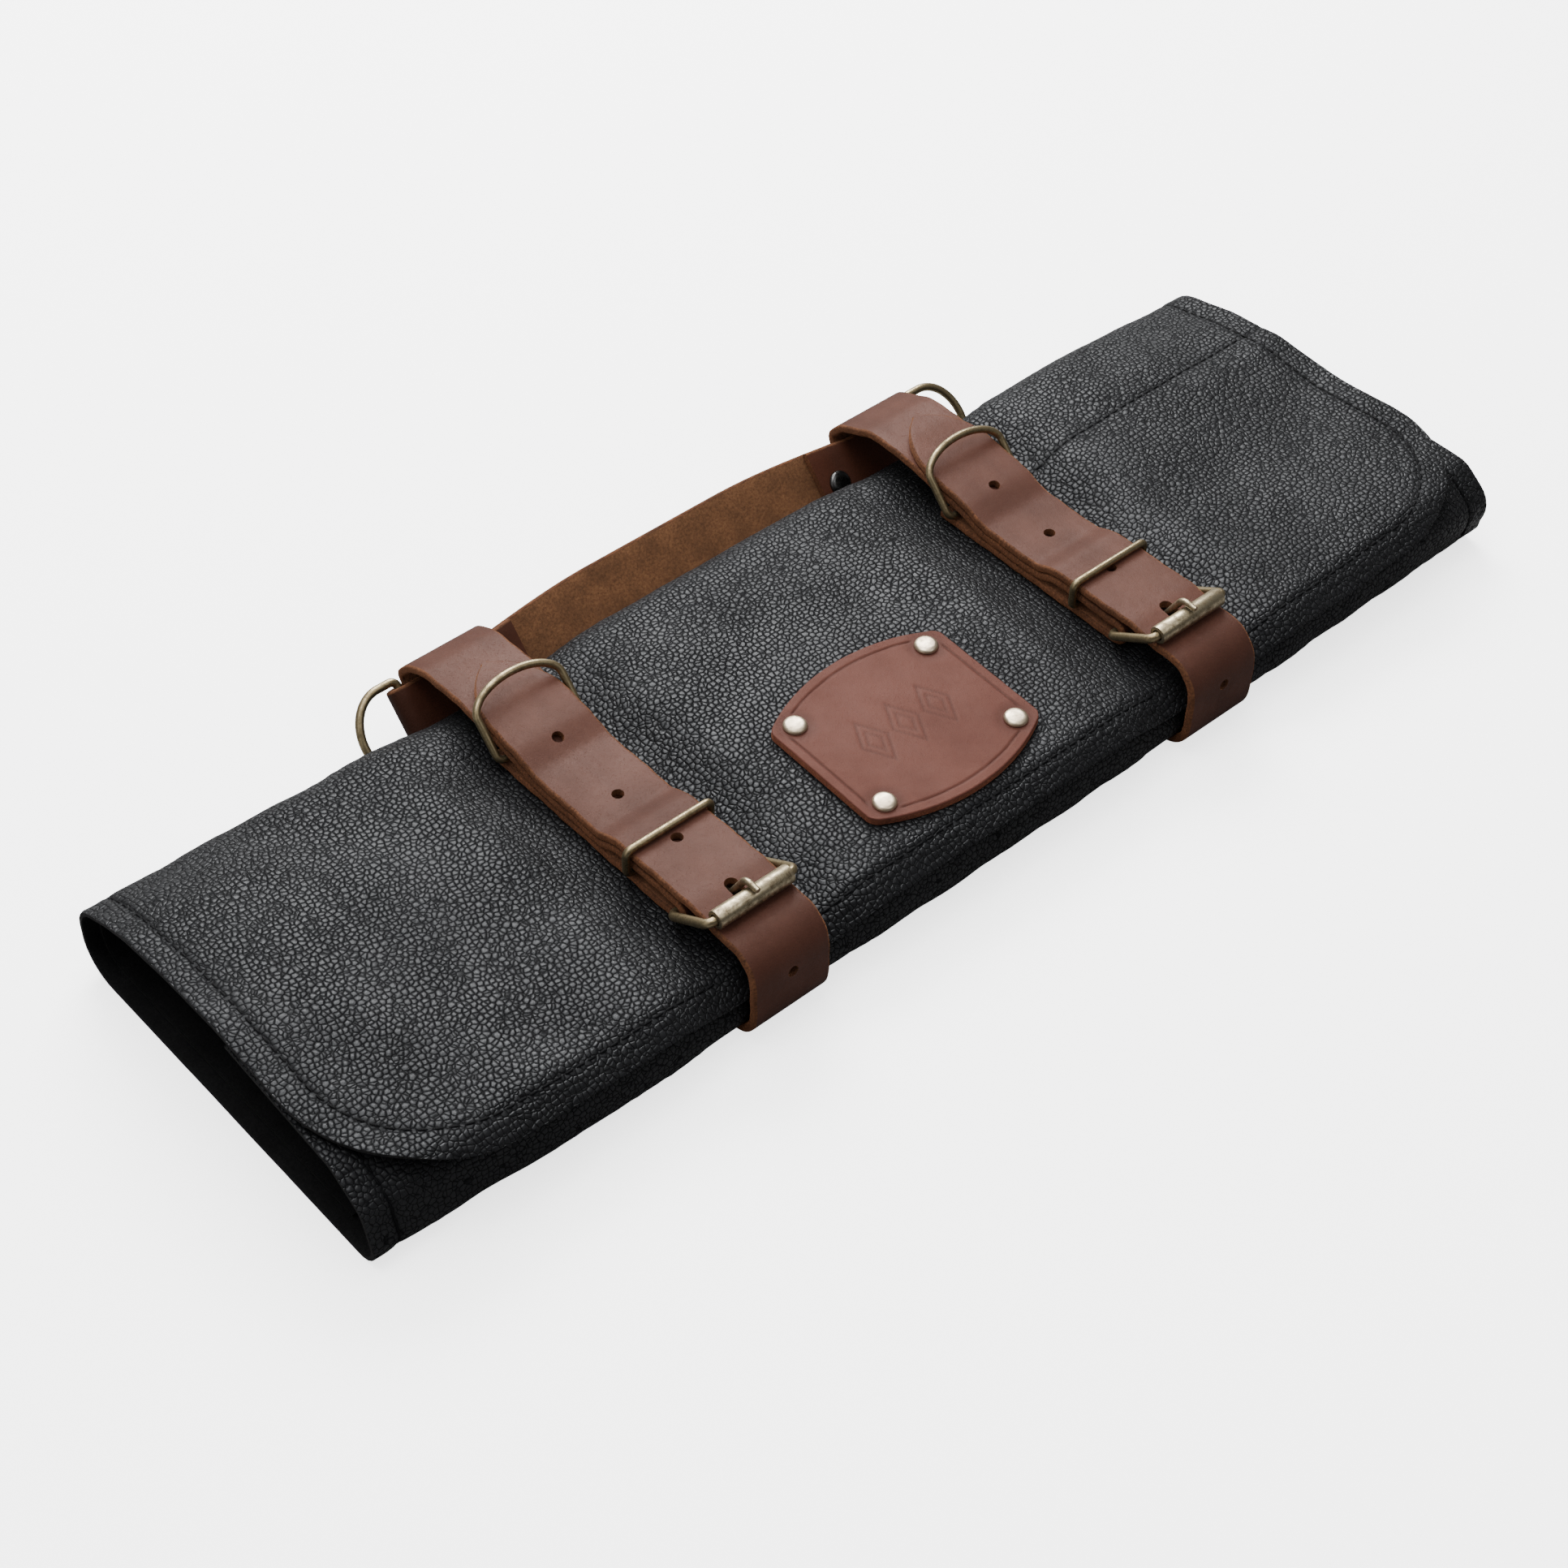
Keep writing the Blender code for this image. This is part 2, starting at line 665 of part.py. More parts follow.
def make_belt(side, brown, brass):
    x = BELT_X[side]
    strap = sheet(f"belt_strap_{side}", strap_rows(side), STRAP, brown)
    cut(strap, strap_cutter(side))

    ring_z = RETURN_LAYER_Z + STRAP / 2 + GAP + RING_WIRE / 2
    lean = math.radians(47.0)
    bow = [
        (x + u, D_RING_Y[side] + v * math.cos(lean), ring_z + v * math.sin(lean))
        for u, v in d_ring_points(*D_RING)
    ]
    pivoted(wire(f"belt_d_ring_{side}", bow, RING_WIRE, brass), (x, D_RING_Y[side], ring_z))

    top = HEEL_Z + FOLD_RADIUS + LAYER_PITCH + STRAP / 2 + GAP + RING_WIRE / 2 + 0.3
    loop = box_loop(16.4, (top - ring_z) / 2, 2.2)
    middle = (top + ring_z) / 2
    keeper = [(x + u, KEEPER_Y[side], middle + v) for u, v in loop]
    pivoted(wire(f"belt_keeper_{side}", keeper, RING_WIRE, brass), (x, KEEPER_Y[side], middle))

    run = Vector((FRONT_BAR_Y - HEEL_Y, FRONT_BAR_Z - HEEL_Z))
    frame = []
    for u, v in box_loop(FRAME_HALF_WIDTH, run.length / 2, 2.0):
        t = v / run.length + 0.5
        frame.append((x + u, HEEL_Y + run.x * t, HEEL_Z + run.y * t))
    wire(f"buckle_frame_{side}", frame, HEEL_WIRE, brass)

    half = ROLLER_LENGTH / 2
    tube = [
        (ROLLER_BORE / 2, -half),
        (ROLLER_DIAMETER / 2 - 0.3, -half),
        (ROLLER_DIAMETER / 2, -half + 0.3),
        (ROLLER_DIAMETER / 2, half - 0.3),
        (ROLLER_DIAMETER / 2 - 0.3, half),
        (ROLLER_BORE / 2, half),
    ]
    front_bar = (x, FRONT_BAR_Y, FRONT_BAR_Z)
    pivoted(turned(f"buckle_roller_{side}", tube, front_bar, (1, 0, 0), brass, 24), front_bar)
    prong = wire(f"buckle_prong_{side}", prong_points(x), PRONG_WIRE, brass, closed=False)
    pivoted(prong, (x, HEEL_Y, HEEL_Z))

    low = RETURN_LAYER_Z - STRAP / 2 + 0.8
    high = low - 0.8 + 2 * STRAP + GAP - 0.8
    profile = spool(low, high, 1.7, (3.8, 0.7), (3.8, 0.7))
    for place, y in zip(("front", "rear"), fold_rivet_ys(side)):
        turned(f"fold_rivet_{place}_{side}", profile, (x, y, 0.0), (0, 0, 1), brass, 14)


def box_loop(half_width, half_height, radius):
    """A closed rectangle with rounded corners, as points (u, v)."""
    points = []
    for k in range(4):
        su = 1 if k in (0, 3) else -1
        sv = 1 if k in (0, 1) else -1
        for step in range(4):
            angle = math.pi / 2 * (k + step / 3)
            points.append(
                (
                    su * (half_width - radius) + radius * math.cos(angle),
                    sv * (half_height - radius) + radius * math.sin(angle),
                )
            )
    return points


def prong_points(x):
    """The prong: an open eye round the heel bar, then up through the strap to the roller."""
    eye = []
    for k in range(13):
        angle = math.radians(-160 + 250 * k / 12)
        eye.append(
            (HEEL_Y + PRONG_EYE_RADIUS * math.cos(angle), HEEL_Z + PRONG_EYE_RADIUS * math.sin(angle))
        )
    rest = FRONT_BAR_Z + ROLLER_DIAMETER / 2 + GAP + PRONG_WIRE / 2 + 0.1
    level = HEEL_Z + PRONG_EYE_RADIUS
    shaft = rounded(
        [
            (HEEL_Y - 2.0, level, 0.0),
            (-51.0, level, 3.4),
            (-58.0, rest, 3.4),
            (-63.6, rest - 0.2, 0.0),
        ],
        4,
    )
    return [(x, *point) for point in eye + [tuple(point) for point in shaft]]


# The handle ----------------------------------------------------------------------------

def handle_frame():
    """The handle's middle, its width direction up the belts' back run, and its outward face."""
    up = Vector((0.0, math.sin(BACK_RUN_LEAN), math.cos(BACK_RUN_LEAN)))
    outward = Vector((0.0, math.cos(BACK_RUN_LEAN), -math.sin(BACK_RUN_LEAN)))
    return Vector((0.0, *back_run(HANDLE_ALONG_RUN))), up, outward


def handle_line():
    """The handle's middle line along X and outwards, from one folded-in flap to the other."""
    layer = HANDLE_LAYER
    pinched = STRAP / 2 + GAP / 2
    left = BELT_X["left"]
    right = BELT_X["right"]
    near = 15.0 + 1.6
    grip = HANDLE_RIVET_FROM_BELT - 1.0
    left_end = left - HANDLE_RING_FROM_BELT["left"] - layer
    right_end = right + HANDLE_RING_FROM_BELT["right"] + layer
    return rounded(
        [
            (left + HANDLE_FLAP_FROM_BELT, -pinched, 0.0),
            (left + grip, -pinched, 5.0),
            (left + near - 2.5, -layer, 5.0),
            (left_end, -layer, layer - 0.01),
            (left_end, layer, layer - 0.01),
            (left + near - 2.5, layer, 5.0),
            (left + grip, pinched, 5.0),
            (left + HANDLE_FLAP_FROM_BELT + 6.0, pinched, 60.0),
            (left + 62.0, HANDLE_BOW, 90.0),
            (right - 62.0, HANDLE_BOW, 90.0),
            (right - HANDLE_FLAP_FROM_BELT - 6.0, pinched, 60.0),
            (right - grip, pinched, 5.0),
            (right - near + 2.5, layer, 5.0),
            (right_end, layer, layer - 0.01),
            (right_end, -layer, layer - 0.01),
            (right - near + 2.5, -layer, 5.0),
            (right - grip, -pinched, 5.0),
            (right - HANDLE_FLAP_FROM_BELT, -pinched, 0.0),
        ],
        5,
    )


def make_handle(brown, brass, dark_metal):
    middle, up, outward = handle_frame()
    rows = []
    for point in handle_line():
        from_belt = min(point.x - BELT_X["left"], BELT_X["right"] - point.x)
        rise = HANDLE_RISE * math.sin(math.pi / 2 * min(1.0, max(0.0, (from_belt - 10) / 56)))
        centre = middle + Vector((point.x, 0, 0)) + outward * point.y + up * rise
        rows.append([centre - up * HANDLE_WIDTH / 2, centre + up * HANDLE_WIDTH / 2])
    strap = sheet("handle_strap", rows, STRAP, brown)
    high = STRAP + GAP / 2 + GAP
    profile = spool(-high, high, 2.0, (4.3, 1.3), (4.3, 1.3))
    holes = []
    for side, inward in (("left", 1), ("right", -1)):
        rivet = middle + Vector((BELT_X[side] + inward * HANDLE_RIVET_FROM_BELT, 0, 0))
        holes.append(spun(seat_profile(-high + 0.25, high - 0.25, 2.4, 4.7, 4.0), rivet, outward))
        post = turned(f"handle_rivet_{side}", profile, rivet, outward, dark_metal, 16)
        pivoted(post, rivet)
        bar = middle + Vector((BELT_X[side] - inward * HANDLE_RING_FROM_BELT[side], 0, 0))
        bow = [
            bar + up * u + Vector((-inward * v, 0, 0))
            for u, v in d_ring_points(*HANDLE_RING)
        ]
        pivoted(wire(f"handle_d_ring_{side}", bow, WIRE, brass), bar)
    pivoted(strap, middle)
    cut(strap, joined("handle_rivet_holes", holes))


def main():
    for old in list(bpy.data.objects):
        bpy.data.objects.remove(old, do_unlink=True)
    black = material("black pebbled leather", (0.018, 0.018, 0.020), 0.45)
    lining = material("black panel leather", (0.015, 0.015, 0.016), 0.7)
    belt_brown = material("belt leather", (0.21, 0.085, 0.055), 0.5)
    handle_brown = material("handle leather", (0.17, 0.07, 0.04), 0.6)
    patch_brown = material("patch leather", (0.17, 0.065, 0.045), 0.6)
    brass = material("antique brass", (0.33, 0.26, 0.15), 0.35, 1.0)
    pale_metal = material("nickel rivet", (0.62, 0.56, 0.44), 0.3, 1.0)
    dark_metal = material("blackened rivet", (0.10, 0.09, 0.07), 0.35, 1.0)
    make_roll(black)
    make_pocket_panels(lining)
    make_patch(patch_brown, pale_metal)
    for side in BELT_X:
        make_belt(side, belt_brown, brass)
    make_handle(handle_brown, brass, dark_metal)


main()
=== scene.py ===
"""Looks of the leather tool roll: fine leather, stitches, metal and light round the CAD frame.

Every length is in millimetres and becomes metres where a mesh or a curve is made.
"""

from math import atan, atan2, copysign, cos, exp, hypot, pi, radians, sin, sqrt, tan

import bmesh
import bpy
import numpy as np
from mathutils import Matrix, Vector


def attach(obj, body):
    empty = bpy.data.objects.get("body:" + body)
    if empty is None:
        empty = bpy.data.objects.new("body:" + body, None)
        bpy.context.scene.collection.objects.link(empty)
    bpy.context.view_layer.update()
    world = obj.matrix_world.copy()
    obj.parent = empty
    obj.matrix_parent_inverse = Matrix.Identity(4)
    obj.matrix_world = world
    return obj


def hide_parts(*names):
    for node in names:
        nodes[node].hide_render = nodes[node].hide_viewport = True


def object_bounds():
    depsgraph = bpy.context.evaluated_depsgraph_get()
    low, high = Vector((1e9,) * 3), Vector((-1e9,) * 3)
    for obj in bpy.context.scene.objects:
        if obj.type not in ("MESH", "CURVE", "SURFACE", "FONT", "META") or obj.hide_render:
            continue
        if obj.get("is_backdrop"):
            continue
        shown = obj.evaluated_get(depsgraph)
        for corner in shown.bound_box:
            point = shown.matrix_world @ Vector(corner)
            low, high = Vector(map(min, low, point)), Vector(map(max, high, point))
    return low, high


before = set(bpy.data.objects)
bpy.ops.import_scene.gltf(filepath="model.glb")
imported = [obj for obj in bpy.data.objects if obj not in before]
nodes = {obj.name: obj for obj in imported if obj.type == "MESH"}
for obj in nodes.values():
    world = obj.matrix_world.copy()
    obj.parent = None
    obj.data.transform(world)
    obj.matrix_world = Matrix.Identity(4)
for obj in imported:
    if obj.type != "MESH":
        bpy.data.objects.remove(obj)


def note_size(moment, sizes):
    low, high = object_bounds()
    sizes[moment] = [[float(v) for v in low], [float(v) for v in high]]


sizes = {}
note_size("cad", sizes)

MM = 0.001
GAP = 0.3
ROLL_LENGTH = 472.0
LEATHER = 1.8
BACK_FOLD_Y = 74.1
BELTED_BACK_FOLD_Y = 72.1
FRONT_WALL_Y = -74.4
BELT_LIFT = 3.3
INNER_FLAP_END_Y = -5.0
FLAP_SEPARATION = 1.6
FLAP_CORNER = 48.0
LEVEL_LINES_Y = (58.0, 46.0, 25.0, 0.0, -28.0, -56.0)
MIDDLE_LEVELS = (30.0, 30.9, 31.6, 31.5, 30.4, 29.3)
BELT_LEVELS = (27.0, 24.5, 24.5, 24.5, 24.5, 24.4)
LEFT_END_LEVELS = (33.6, 37.2, 39.7, 40.3, 37.5, 35.0)
RIGHT_END_LEVELS = (27.6, 30.4, 32.2, 31.6, 32.6, 33.2)
BELT_X = {"left": -90.0, "right": 95.2}
BELT_WIDTH = 29.5
STRAP = 2.8
FRONT_RUN_Y = -78.2
BOTTOM_RUN_Z = STRAP / 2
RETURN_LAYER_Z = BELT_LEVELS[1] + GAP + STRAP / 2
LAYER_PITCH = STRAP + GAP
WIRE = 2.9
RING_WIRE = 2.6
D_RING_Y = {"left": 38.5, "right": 31.5}
D_RING = (16.5, 14.5, 22.8)
KEEPER_Y = {"left": -23.0, "right": -26.0}
KEEPER_HALF_WIDTH = 16.4
ARCH_Z = {"left": 36.0, "right": 38.0}
ARCH_Y = {"left": 79.0, "right": 74.0}
STRAP_TIP_Y = 67.0
HOLE_Y = (1.0, -27.0)
FIRST_HOLE_Y = {"left": 30.5, "right": 27.8}
FRONT_HOLE_Z = 23.0
HOLE = 4.0
PRONG_HOLE = 2.3  # half the width of the oblong hole that the prong passes through
PRONG_HOLE_REACH = 1.5  # from its middle to the middle of each rounded end
PRONG_HOLE_Y = -53.3
HEEL_Y = -44.0
HEEL_WIRE = 3.0
FOLD_RIVET_SUNK = 0.8
FOLD_RADIUS = HEEL_WIRE / 2 + GAP + STRAP / 2
HEEL_Z = RETURN_LAYER_Z + FOLD_RADIUS
FRONT_BAR_Y = -61.0
FRONT_BAR_Z = 40.0
FRAME_HALF_WIDTH = 17.0
ROLLER_DIAMETER = 6.3
ROLLER_BORE = 3.8
ROLLER_LENGTH = 28.6
PRONG_WIRE = 2.6
PRONG_EYE_RADIUS = HEEL_WIRE / 2 + GAP + PRONG_WIRE / 2
BACK_RUN_LEAN = radians(42.0)
BACK_RUN_FOOT = (75.5, 3.82)
BACK_RUN = 28.0
HANDLE_WIDTH = 25.0
HANDLE_ALONG_RUN = 12.0
HANDLE_LAYER = STRAP / 2 + GAP + STRAP / 2
HANDLE_BOW = 2.6
HANDLE_RISE = 4.4
HANDLE_RING_FROM_BELT = {"left": 16.6, "right": 20.5}
HANDLE_RING = (15.0, 7.0, 19.5)
HANDLE_RIVET_FROM_BELT = 20.5
HANDLE_FLAP_FROM_BELT = 28.0
PATCH_CENTRE = (-1.7, -32.5)
PATCH_HALF_WIDTH = 36.0
PATCH_SIDE_HALF_HEIGHT = 23.5
PATCH_HALF_HEIGHT = 33.5
PATCH_CORNER = 2.5
PATCH = 2.6
PATCH_RIVET_OFFSET = (28.0, 20.5)
HEM = 9.0  # from an edge to its line of stitches
FAR = 99.0  # distance to a line of stitches that isn't near
SEAM_Y = 33.0  # the lengthwise seam over the right pocket panel
STITCH_PITCH = 4.1
STITCH_HALF_WIDTH = 0.46
STITCH_HALF_HEIGHT = 0.30
STITCH_REACH = 0.8  # share of the pitch that a thread covers


# Plane geometry ------------------------------------------------------------------------

def blend(low, high, amount):
    """Smooth step from 0 at low to 1 at high."""
    t = min(1.0, max(0.0, (amount - low) / (high - low)))
    return t * t * (3 - 2 * t)


def rounded(corners, steps):
    """Straight runs between corners (u, v, radius), with each corner rounded."""
    points = [Vector(corners[0][:2])]
    for before, corner, after in zip(corners, corners[1:], corners[2:]):
        here = Vector(corner[:2])
        inward = (here - Vector(before[:2])).normalized()
        outward = (Vector(after[:2]) - here).normalized()
        turn = inward.angle_signed(outward)
        reach = max(0.3, corner[2] * tan(abs(turn) / 2))
        start = here - inward * reach
        end = here + outward * reach
        for step in range(steps + 1):
            t = step / steps
            if abs(turn) < 0.02:
                points.append(start.lerp(end, t))
                continue
            side = Vector((inward.y, -inward.x)) * copysign(1.0, turn)
            centre = start + side * reach / tan(abs(turn) / 2)
            points.append(centre + Matrix.Rotation(-turn * t, 2) @ (start - centre))
    points.append(Vector(corners[-1][:2]))
    apart = points[:1]
    for point in points[1:]:
        if (point - apart[-1]).length > 0.1:
            apart.append(point)
    return apart


def resampled(points, distances):
    """Points and unit tangents at these distances along a polyline, as arrays."""
    line = np.array([tuple(p) for p in points])
    along = np.concatenate([[0], np.cumsum(np.linalg.norm(np.diff(line, axis=0), axis=1))])
    distances = np.asarray(distances, float)
    found = np.stack([np.interp(distances, along, line[:, k]) for k in range(line.shape[1])], 1)
    step = 0.4
    ahead = np.stack([np.interp(distances + step, along, line[:, k]) for k in range(2)], 1)
    behind = np.stack([np.interp(distances - step, along, line[:, k]) for k in range(2)], 1)
    tangent = ahead - behind
    tangent /= np.linalg.norm(tangent, axis=1)[:, None]
    return found, tangent


def length_of(points):
    return sum((b - a).length for a, b in zip(points, points[1:]))


# Blender objects -----------------------------------------------------------------------

SHARP = 38  # degrees between two faces from which their edge is shown sharp

def mesh_object(name, points, faces, looks, picks=None, sharp=SHARP):
    """A mesh from points in millimetres. picks gives each face its material."""
    mesh = bpy.data.meshes.new(name)
    mesh.from_pydata((np.asarray(points, float) * MM).tolist(), [], faces)
    for look in looks:
        mesh.materials.append(look)
    if picks is not None:
        mesh.polygons.foreach_set("material_index", picks)
    work = bmesh.new()
    work.from_mesh(mesh)
    bmesh.ops.recalc_face_normals(work, faces=work.faces)
    work.to_mesh(mesh)
    work.free()
    mesh.shade_smooth()
    mesh.set_sharp_from_angle(angle=radians(sharp))
    made = bpy.data.objects.new(name, mesh)
    bpy.context.scene.collection.objects.link(made)
    return made


def mark(made, name, values):
    """Store one number per point, for a material to read."""
    attribute = made.data.attributes.new(name, "FLOAT", "POINT")
    attribute.data.foreach_set("value", np.asarray(values, dtype=np.float32))


def about(centre, axis, angle, radius, height):
    """The point at this angle, radius and height about an axis."""
    turn = Vector((0, 0, 1)).rotation_difference(Vector(axis)).to_matrix()
    spoke = Vector((radius * cos(angle), radius * sin(angle), height))
    return Vector(centre) + turn @ spoke


def tube_faces(count, rings=2, start=0):
    """Faces of a tube through rings of this many points, with both ends closed."""
    last = start + (rings - 1) * count
    faces = [
        (a + k, a + (k + 1) % count, a + count + (k + 1) % count, a + count + k)
        for a in range(start, last, count)
        for k in range(count)
    ]
    faces.append(tuple(start + k for k in reversed(range(count))))
    faces.append(tuple(last + k for k in range(count)))
    return faces


def slab_faces(rows, columns):
    """Faces of two grids of points, and their kinds: 0 upper, 1 lower, 2 edge."""
    below = rows * columns
    faces = []
    kinds = []
    for i in range(rows - 1):
        for j in range(columns - 1):
            a = i * columns + j
            b = a + columns
            faces.append((a, a + 1, b + 1, b))
            faces.append((below + a, below + b, below + b + 1, below + a + 1))
            kinds += [0, 1]
    rims = [(i, j, columns) for i in range(rows - 1) for j in (0, columns - 1)]
    rims += [(i, j, 1) for j in range(columns - 1) for i in (0, rows - 1)]
    for i, j, step in rims:
        a = i * columns + j
        faces.append((a, a + step, below + a + step, below + a))
        kinds.append(2)
    return faces, kinds


def turned(name, profile, centre, axis, look, sides=40):
    """A solid turned about an axis. A radius of 0 is a point on the axis."""
    points = [
        about(centre, axis, 2 * pi * k / sides, radius, height)
        for k in range(sides)
        for radius, height in profile
    ]
    count = len(profile)
    faces = []
    for k in range(sides):
        a = k * count
        b = (k + 1) % sides * count
        for j in range(count):
            following = (j + 1) % count
            faces.append((a + j, a + following, b + following, b + j))
    made = mesh_object(name, points, faces, [look], sharp=30)
    work = bmesh.new()
    work.from_mesh(made.data)
    bmesh.ops.remove_doubles(work, verts=work.verts, dist=1e-6)
    bmesh.ops.dissolve_degenerate(work, edges=work.edges, dist=1e-7)
    bmesh.ops.recalc_face_normals(work, faces=work.faces)
    work.to_mesh(made.data)
    work.free()
    return made


def wire(name, points, diameter, look, closed=True, radii=None):
    """Round wire bent along points."""
    curve = bpy.data.curves.new(name, "CURVE")
    curve.dimensions = "3D"
    curve.twist_mode = "MINIMUM"
    curve.bevel_depth = diameter / 2 * MM
    curve.bevel_resolution = 5
    curve.use_fill_caps = not closed
    spline = curve.splines.new("POLY")
    spline.points.add(len(points) - 1)
    for number, (target, point) in enumerate(zip(spline.points, points)):
        target.co = (*(Vector(point) * MM), 1.0)
        target.radius = radii[number] if radii else 1.0
    spline.use_cyclic_u = closed
    spline.use_smooth = True
    made = bpy.data.objects.new(name, curve)
    bpy.context.scene.collection.objects.link(made)
    curve.materials.append(look)
    return made


def cylinder(centre, axis, radius, low, high, sides=24):
    """Points and faces of a closed cylinder."""
    points = [
        about(centre, axis, 2 * pi * k / sides, radius, height)
        for height in (low, high)
        for k in range(sides)
    ]
    return points, tube_faces(sides)


def prism(outline, low, high):
    """Points and faces of an outline (x, y) extruded along Z."""
    points = [(x, y, z) for z in (low, high) for x, y in outline]
    return points, tube_faces(len(outline))


def cut(made, shapes, look):
    """Takes separate closed shapes out of an object and leaves their walls with this look."""
    points = []
    faces = []
    for shape_points, shape_faces in shapes:
        start = len(points)
        points += [tuple(p) for p in shape_points]
        faces += [tuple(start + index for index in face) for face in shape_faces]
    cutter = mesh_object(made.name + "_cutter", points, faces, [look])
    boolean = made.modifiers.new("Cut", "BOOLEAN")
    boolean.operation = "DIFFERENCE"
    boolean.solver = "EXACT"
    boolean.material_mode = "TRANSFER"
    boolean.object = cutter
    bpy.context.view_layer.update()
    depsgraph = bpy.context.evaluated_depsgraph_get()
    mesh = bpy.data.meshes.new_from_object(made.evaluated_get(depsgraph))
    made.modifiers.clear()
    made.data = mesh
    bpy.data.objects.remove(cutter, do_unlink=True)
    mesh.shade_smooth()
    mesh.set_sharp_from_angle(angle=radians(SHARP))


# Materials -----------------------------------------------------------------------------

def shade(tint, factor=1.0):
    """A colour made lighter or darker."""
    return (*[v * factor for v in tint], 1)


class Nodes:
    """Short helper for building the nodes of a material or of the world."""

    def __init__(self, owner, place="Object"):
        owner.use_nodes = True
        self.owner = owner
        self.tree = owner.node_tree
        self.shader = self.tree.nodes.get("Principled BSDF")
        self.place = self.add("TexCoord").outputs[place]

    def add(self, kind, values=None, **settings):
        node = self.tree.nodes.new("ShaderNode" + kind)
        for key, value in settings.items():
            setattr(node, key, value)
        for key, value in (values or {}).items():
            self.set(node.inputs[key], value)
        return node

    def set(self, socket, value):
        if isinstance(value, bpy.types.NodeSocket):
            self.tree.links.new(value, socket)
        else:
            socket.default_value = value

    def noise(self, scale, detail=3.0, rough=0.5, place=None, stretch=None):
        vector = place or self.place
        if stretch:
            vector = self.add(
                "Mapping", {"Vector": vector, "Scale": stretch}
            ).outputs["Vector"]
        values = {"Vector": vector, "Scale": scale, "Detail": detail, "Roughness": rough}
        return self.add("TexNoise", values).outputs["Fac"]

    def math(self, operation, a, b=0.0, clamp=False):
        node = self.add("Math", operation=operation, use_clamp=clamp)
        self.set(node.inputs[0], a)
        self.set(node.inputs[1], b)
        return node.outputs[0]

    def plus(self, a, b):
        return self.math("ADD", a, b)

    def times(self, a, b):
        return self.math("MULTIPLY", a, b)

    def span(self, value, low, high, start=0.0, end=1.0):
        values = {0: value, 1: low, 2: high, 3: start, 4: end}
        return self.add("MapRange", values).outputs[0]

    def mix(self, amount, a, b):
        node = self.add("Mix", data_type="RGBA")
        self.set(node.inputs[0], amount)
        self.set(node.inputs[6], a)
        self.set(node.inputs[7], b)
        return node.outputs[2]

    def bump(self, height, distance, strength=1.0, under=None):
        values = {"Height": height, "Distance": distance, "Strength": strength}
        if under:
            values["Normal"] = under
        return self.add("Bump", values).outputs["Normal"]

    def out(self, **values):
        for key, value in values.items():
            self.set(self.shader.inputs[key.replace("_", " ")], value)
        return self.owner


def pebbled_leather(name, tint):
    """Black leather with a pebbled grain of about 1.9 mm, with painted shade in its creases and
    along its lines of stitches.
    """
    n = Nodes(bpy.data.materials.new(name))
    warp = n.add("TexNoise", {"Vector": n.place, "Scale": 180.0, "Detail": 2.0})
    reach = {0: warp.outputs["Color"], 1: (0.0011, 0.0011, 0.0011)}
    moved = n.add("VectorMath", reach, operation="MULTIPLY").outputs[0]
    place = n.add("VectorMath", {0: n.place, 1: moved}, operation="ADD").outputs[0]
    pebble = {"Vector": place, "Scale": 540.0, "Randomness": 0.75}
    edge = n.add("TexVoronoi", pebble, feature="DISTANCE_TO_EDGE").outputs["Distance"]
    middle = n.add("TexVoronoi", pebble, feature="F1").outputs["Distance"]
    small = {"Vector": place, "Scale": 1400.0, "Randomness": 1.0}
    fine = n.add("TexVoronoi", small, feature="DISTANCE_TO_EDGE").outputs["Distance"]
    crease = n.math("POWER", n.span(edge, 0.0, 0.2), 0.7)
    dome = n.times(n.times(middle, middle), -1.3)
    height = n.plus(n.times(crease, 0.75), dome)
    height = n.plus(height, n.times(n.span(fine, 0.0, 0.2), 0.08))
    depth = n.span(n.noise(42.0, 3.0), 0.32, 0.68, 0.55, 1.0)
    height = n.times(height, depth)
    height = n.plus(height, n.times(n.noise(2600.0, 3.0, 0.6), 0.06))
    swell = n.bump(n.noise(13.0, 2.0), 0.012, 0.6)
    normal = n.bump(height, 0.00038, 1.0, swell)
    cloud = n.noise(16.0, 4.0, 0.55)
    # Painted shade: the base colour falls towards a third of the tint in the creases between
    # pebbles, and more so along the lines of stitches where the seam mark is high.
    dark = shade(tint, 0.35)
    seam = n.add("Attribute", attribute_name="seam").outputs["Fac"]
    top = n.times(n.span(edge, 0.0, 0.10), n.span(seam, 0.0, 1.0, 1.0, 0.4))
    base = n.mix(top, dark, shade(tint))
    base = n.mix(n.span(cloud, 0.35, 0.7, 0.0, 0.3), base, shade(tint, 1.6))
    cloudy = n.span(cloud, 0.3, 0.7, -0.04, 0.06)
    rough = n.plus(n.span(top, 0.0, 1.0, 0.75, 0.40), cloudy)
    shine = 0.27
    # Creases and stitch lines hardly shine: painted shade on the highlights. The plain value is
    # what stays where a link isn't read.
    n.out(Specular_IOR_Level=shine)
    return n.out(
        Base_Color=base,
        Roughness=rough,
        Normal=normal,
        Specular_IOR_Level=n.span(top, 0.0, 1.0, 0.08, shine),
        Specular_Tint=(0.95, 0.97, 1.0, 1),
    )


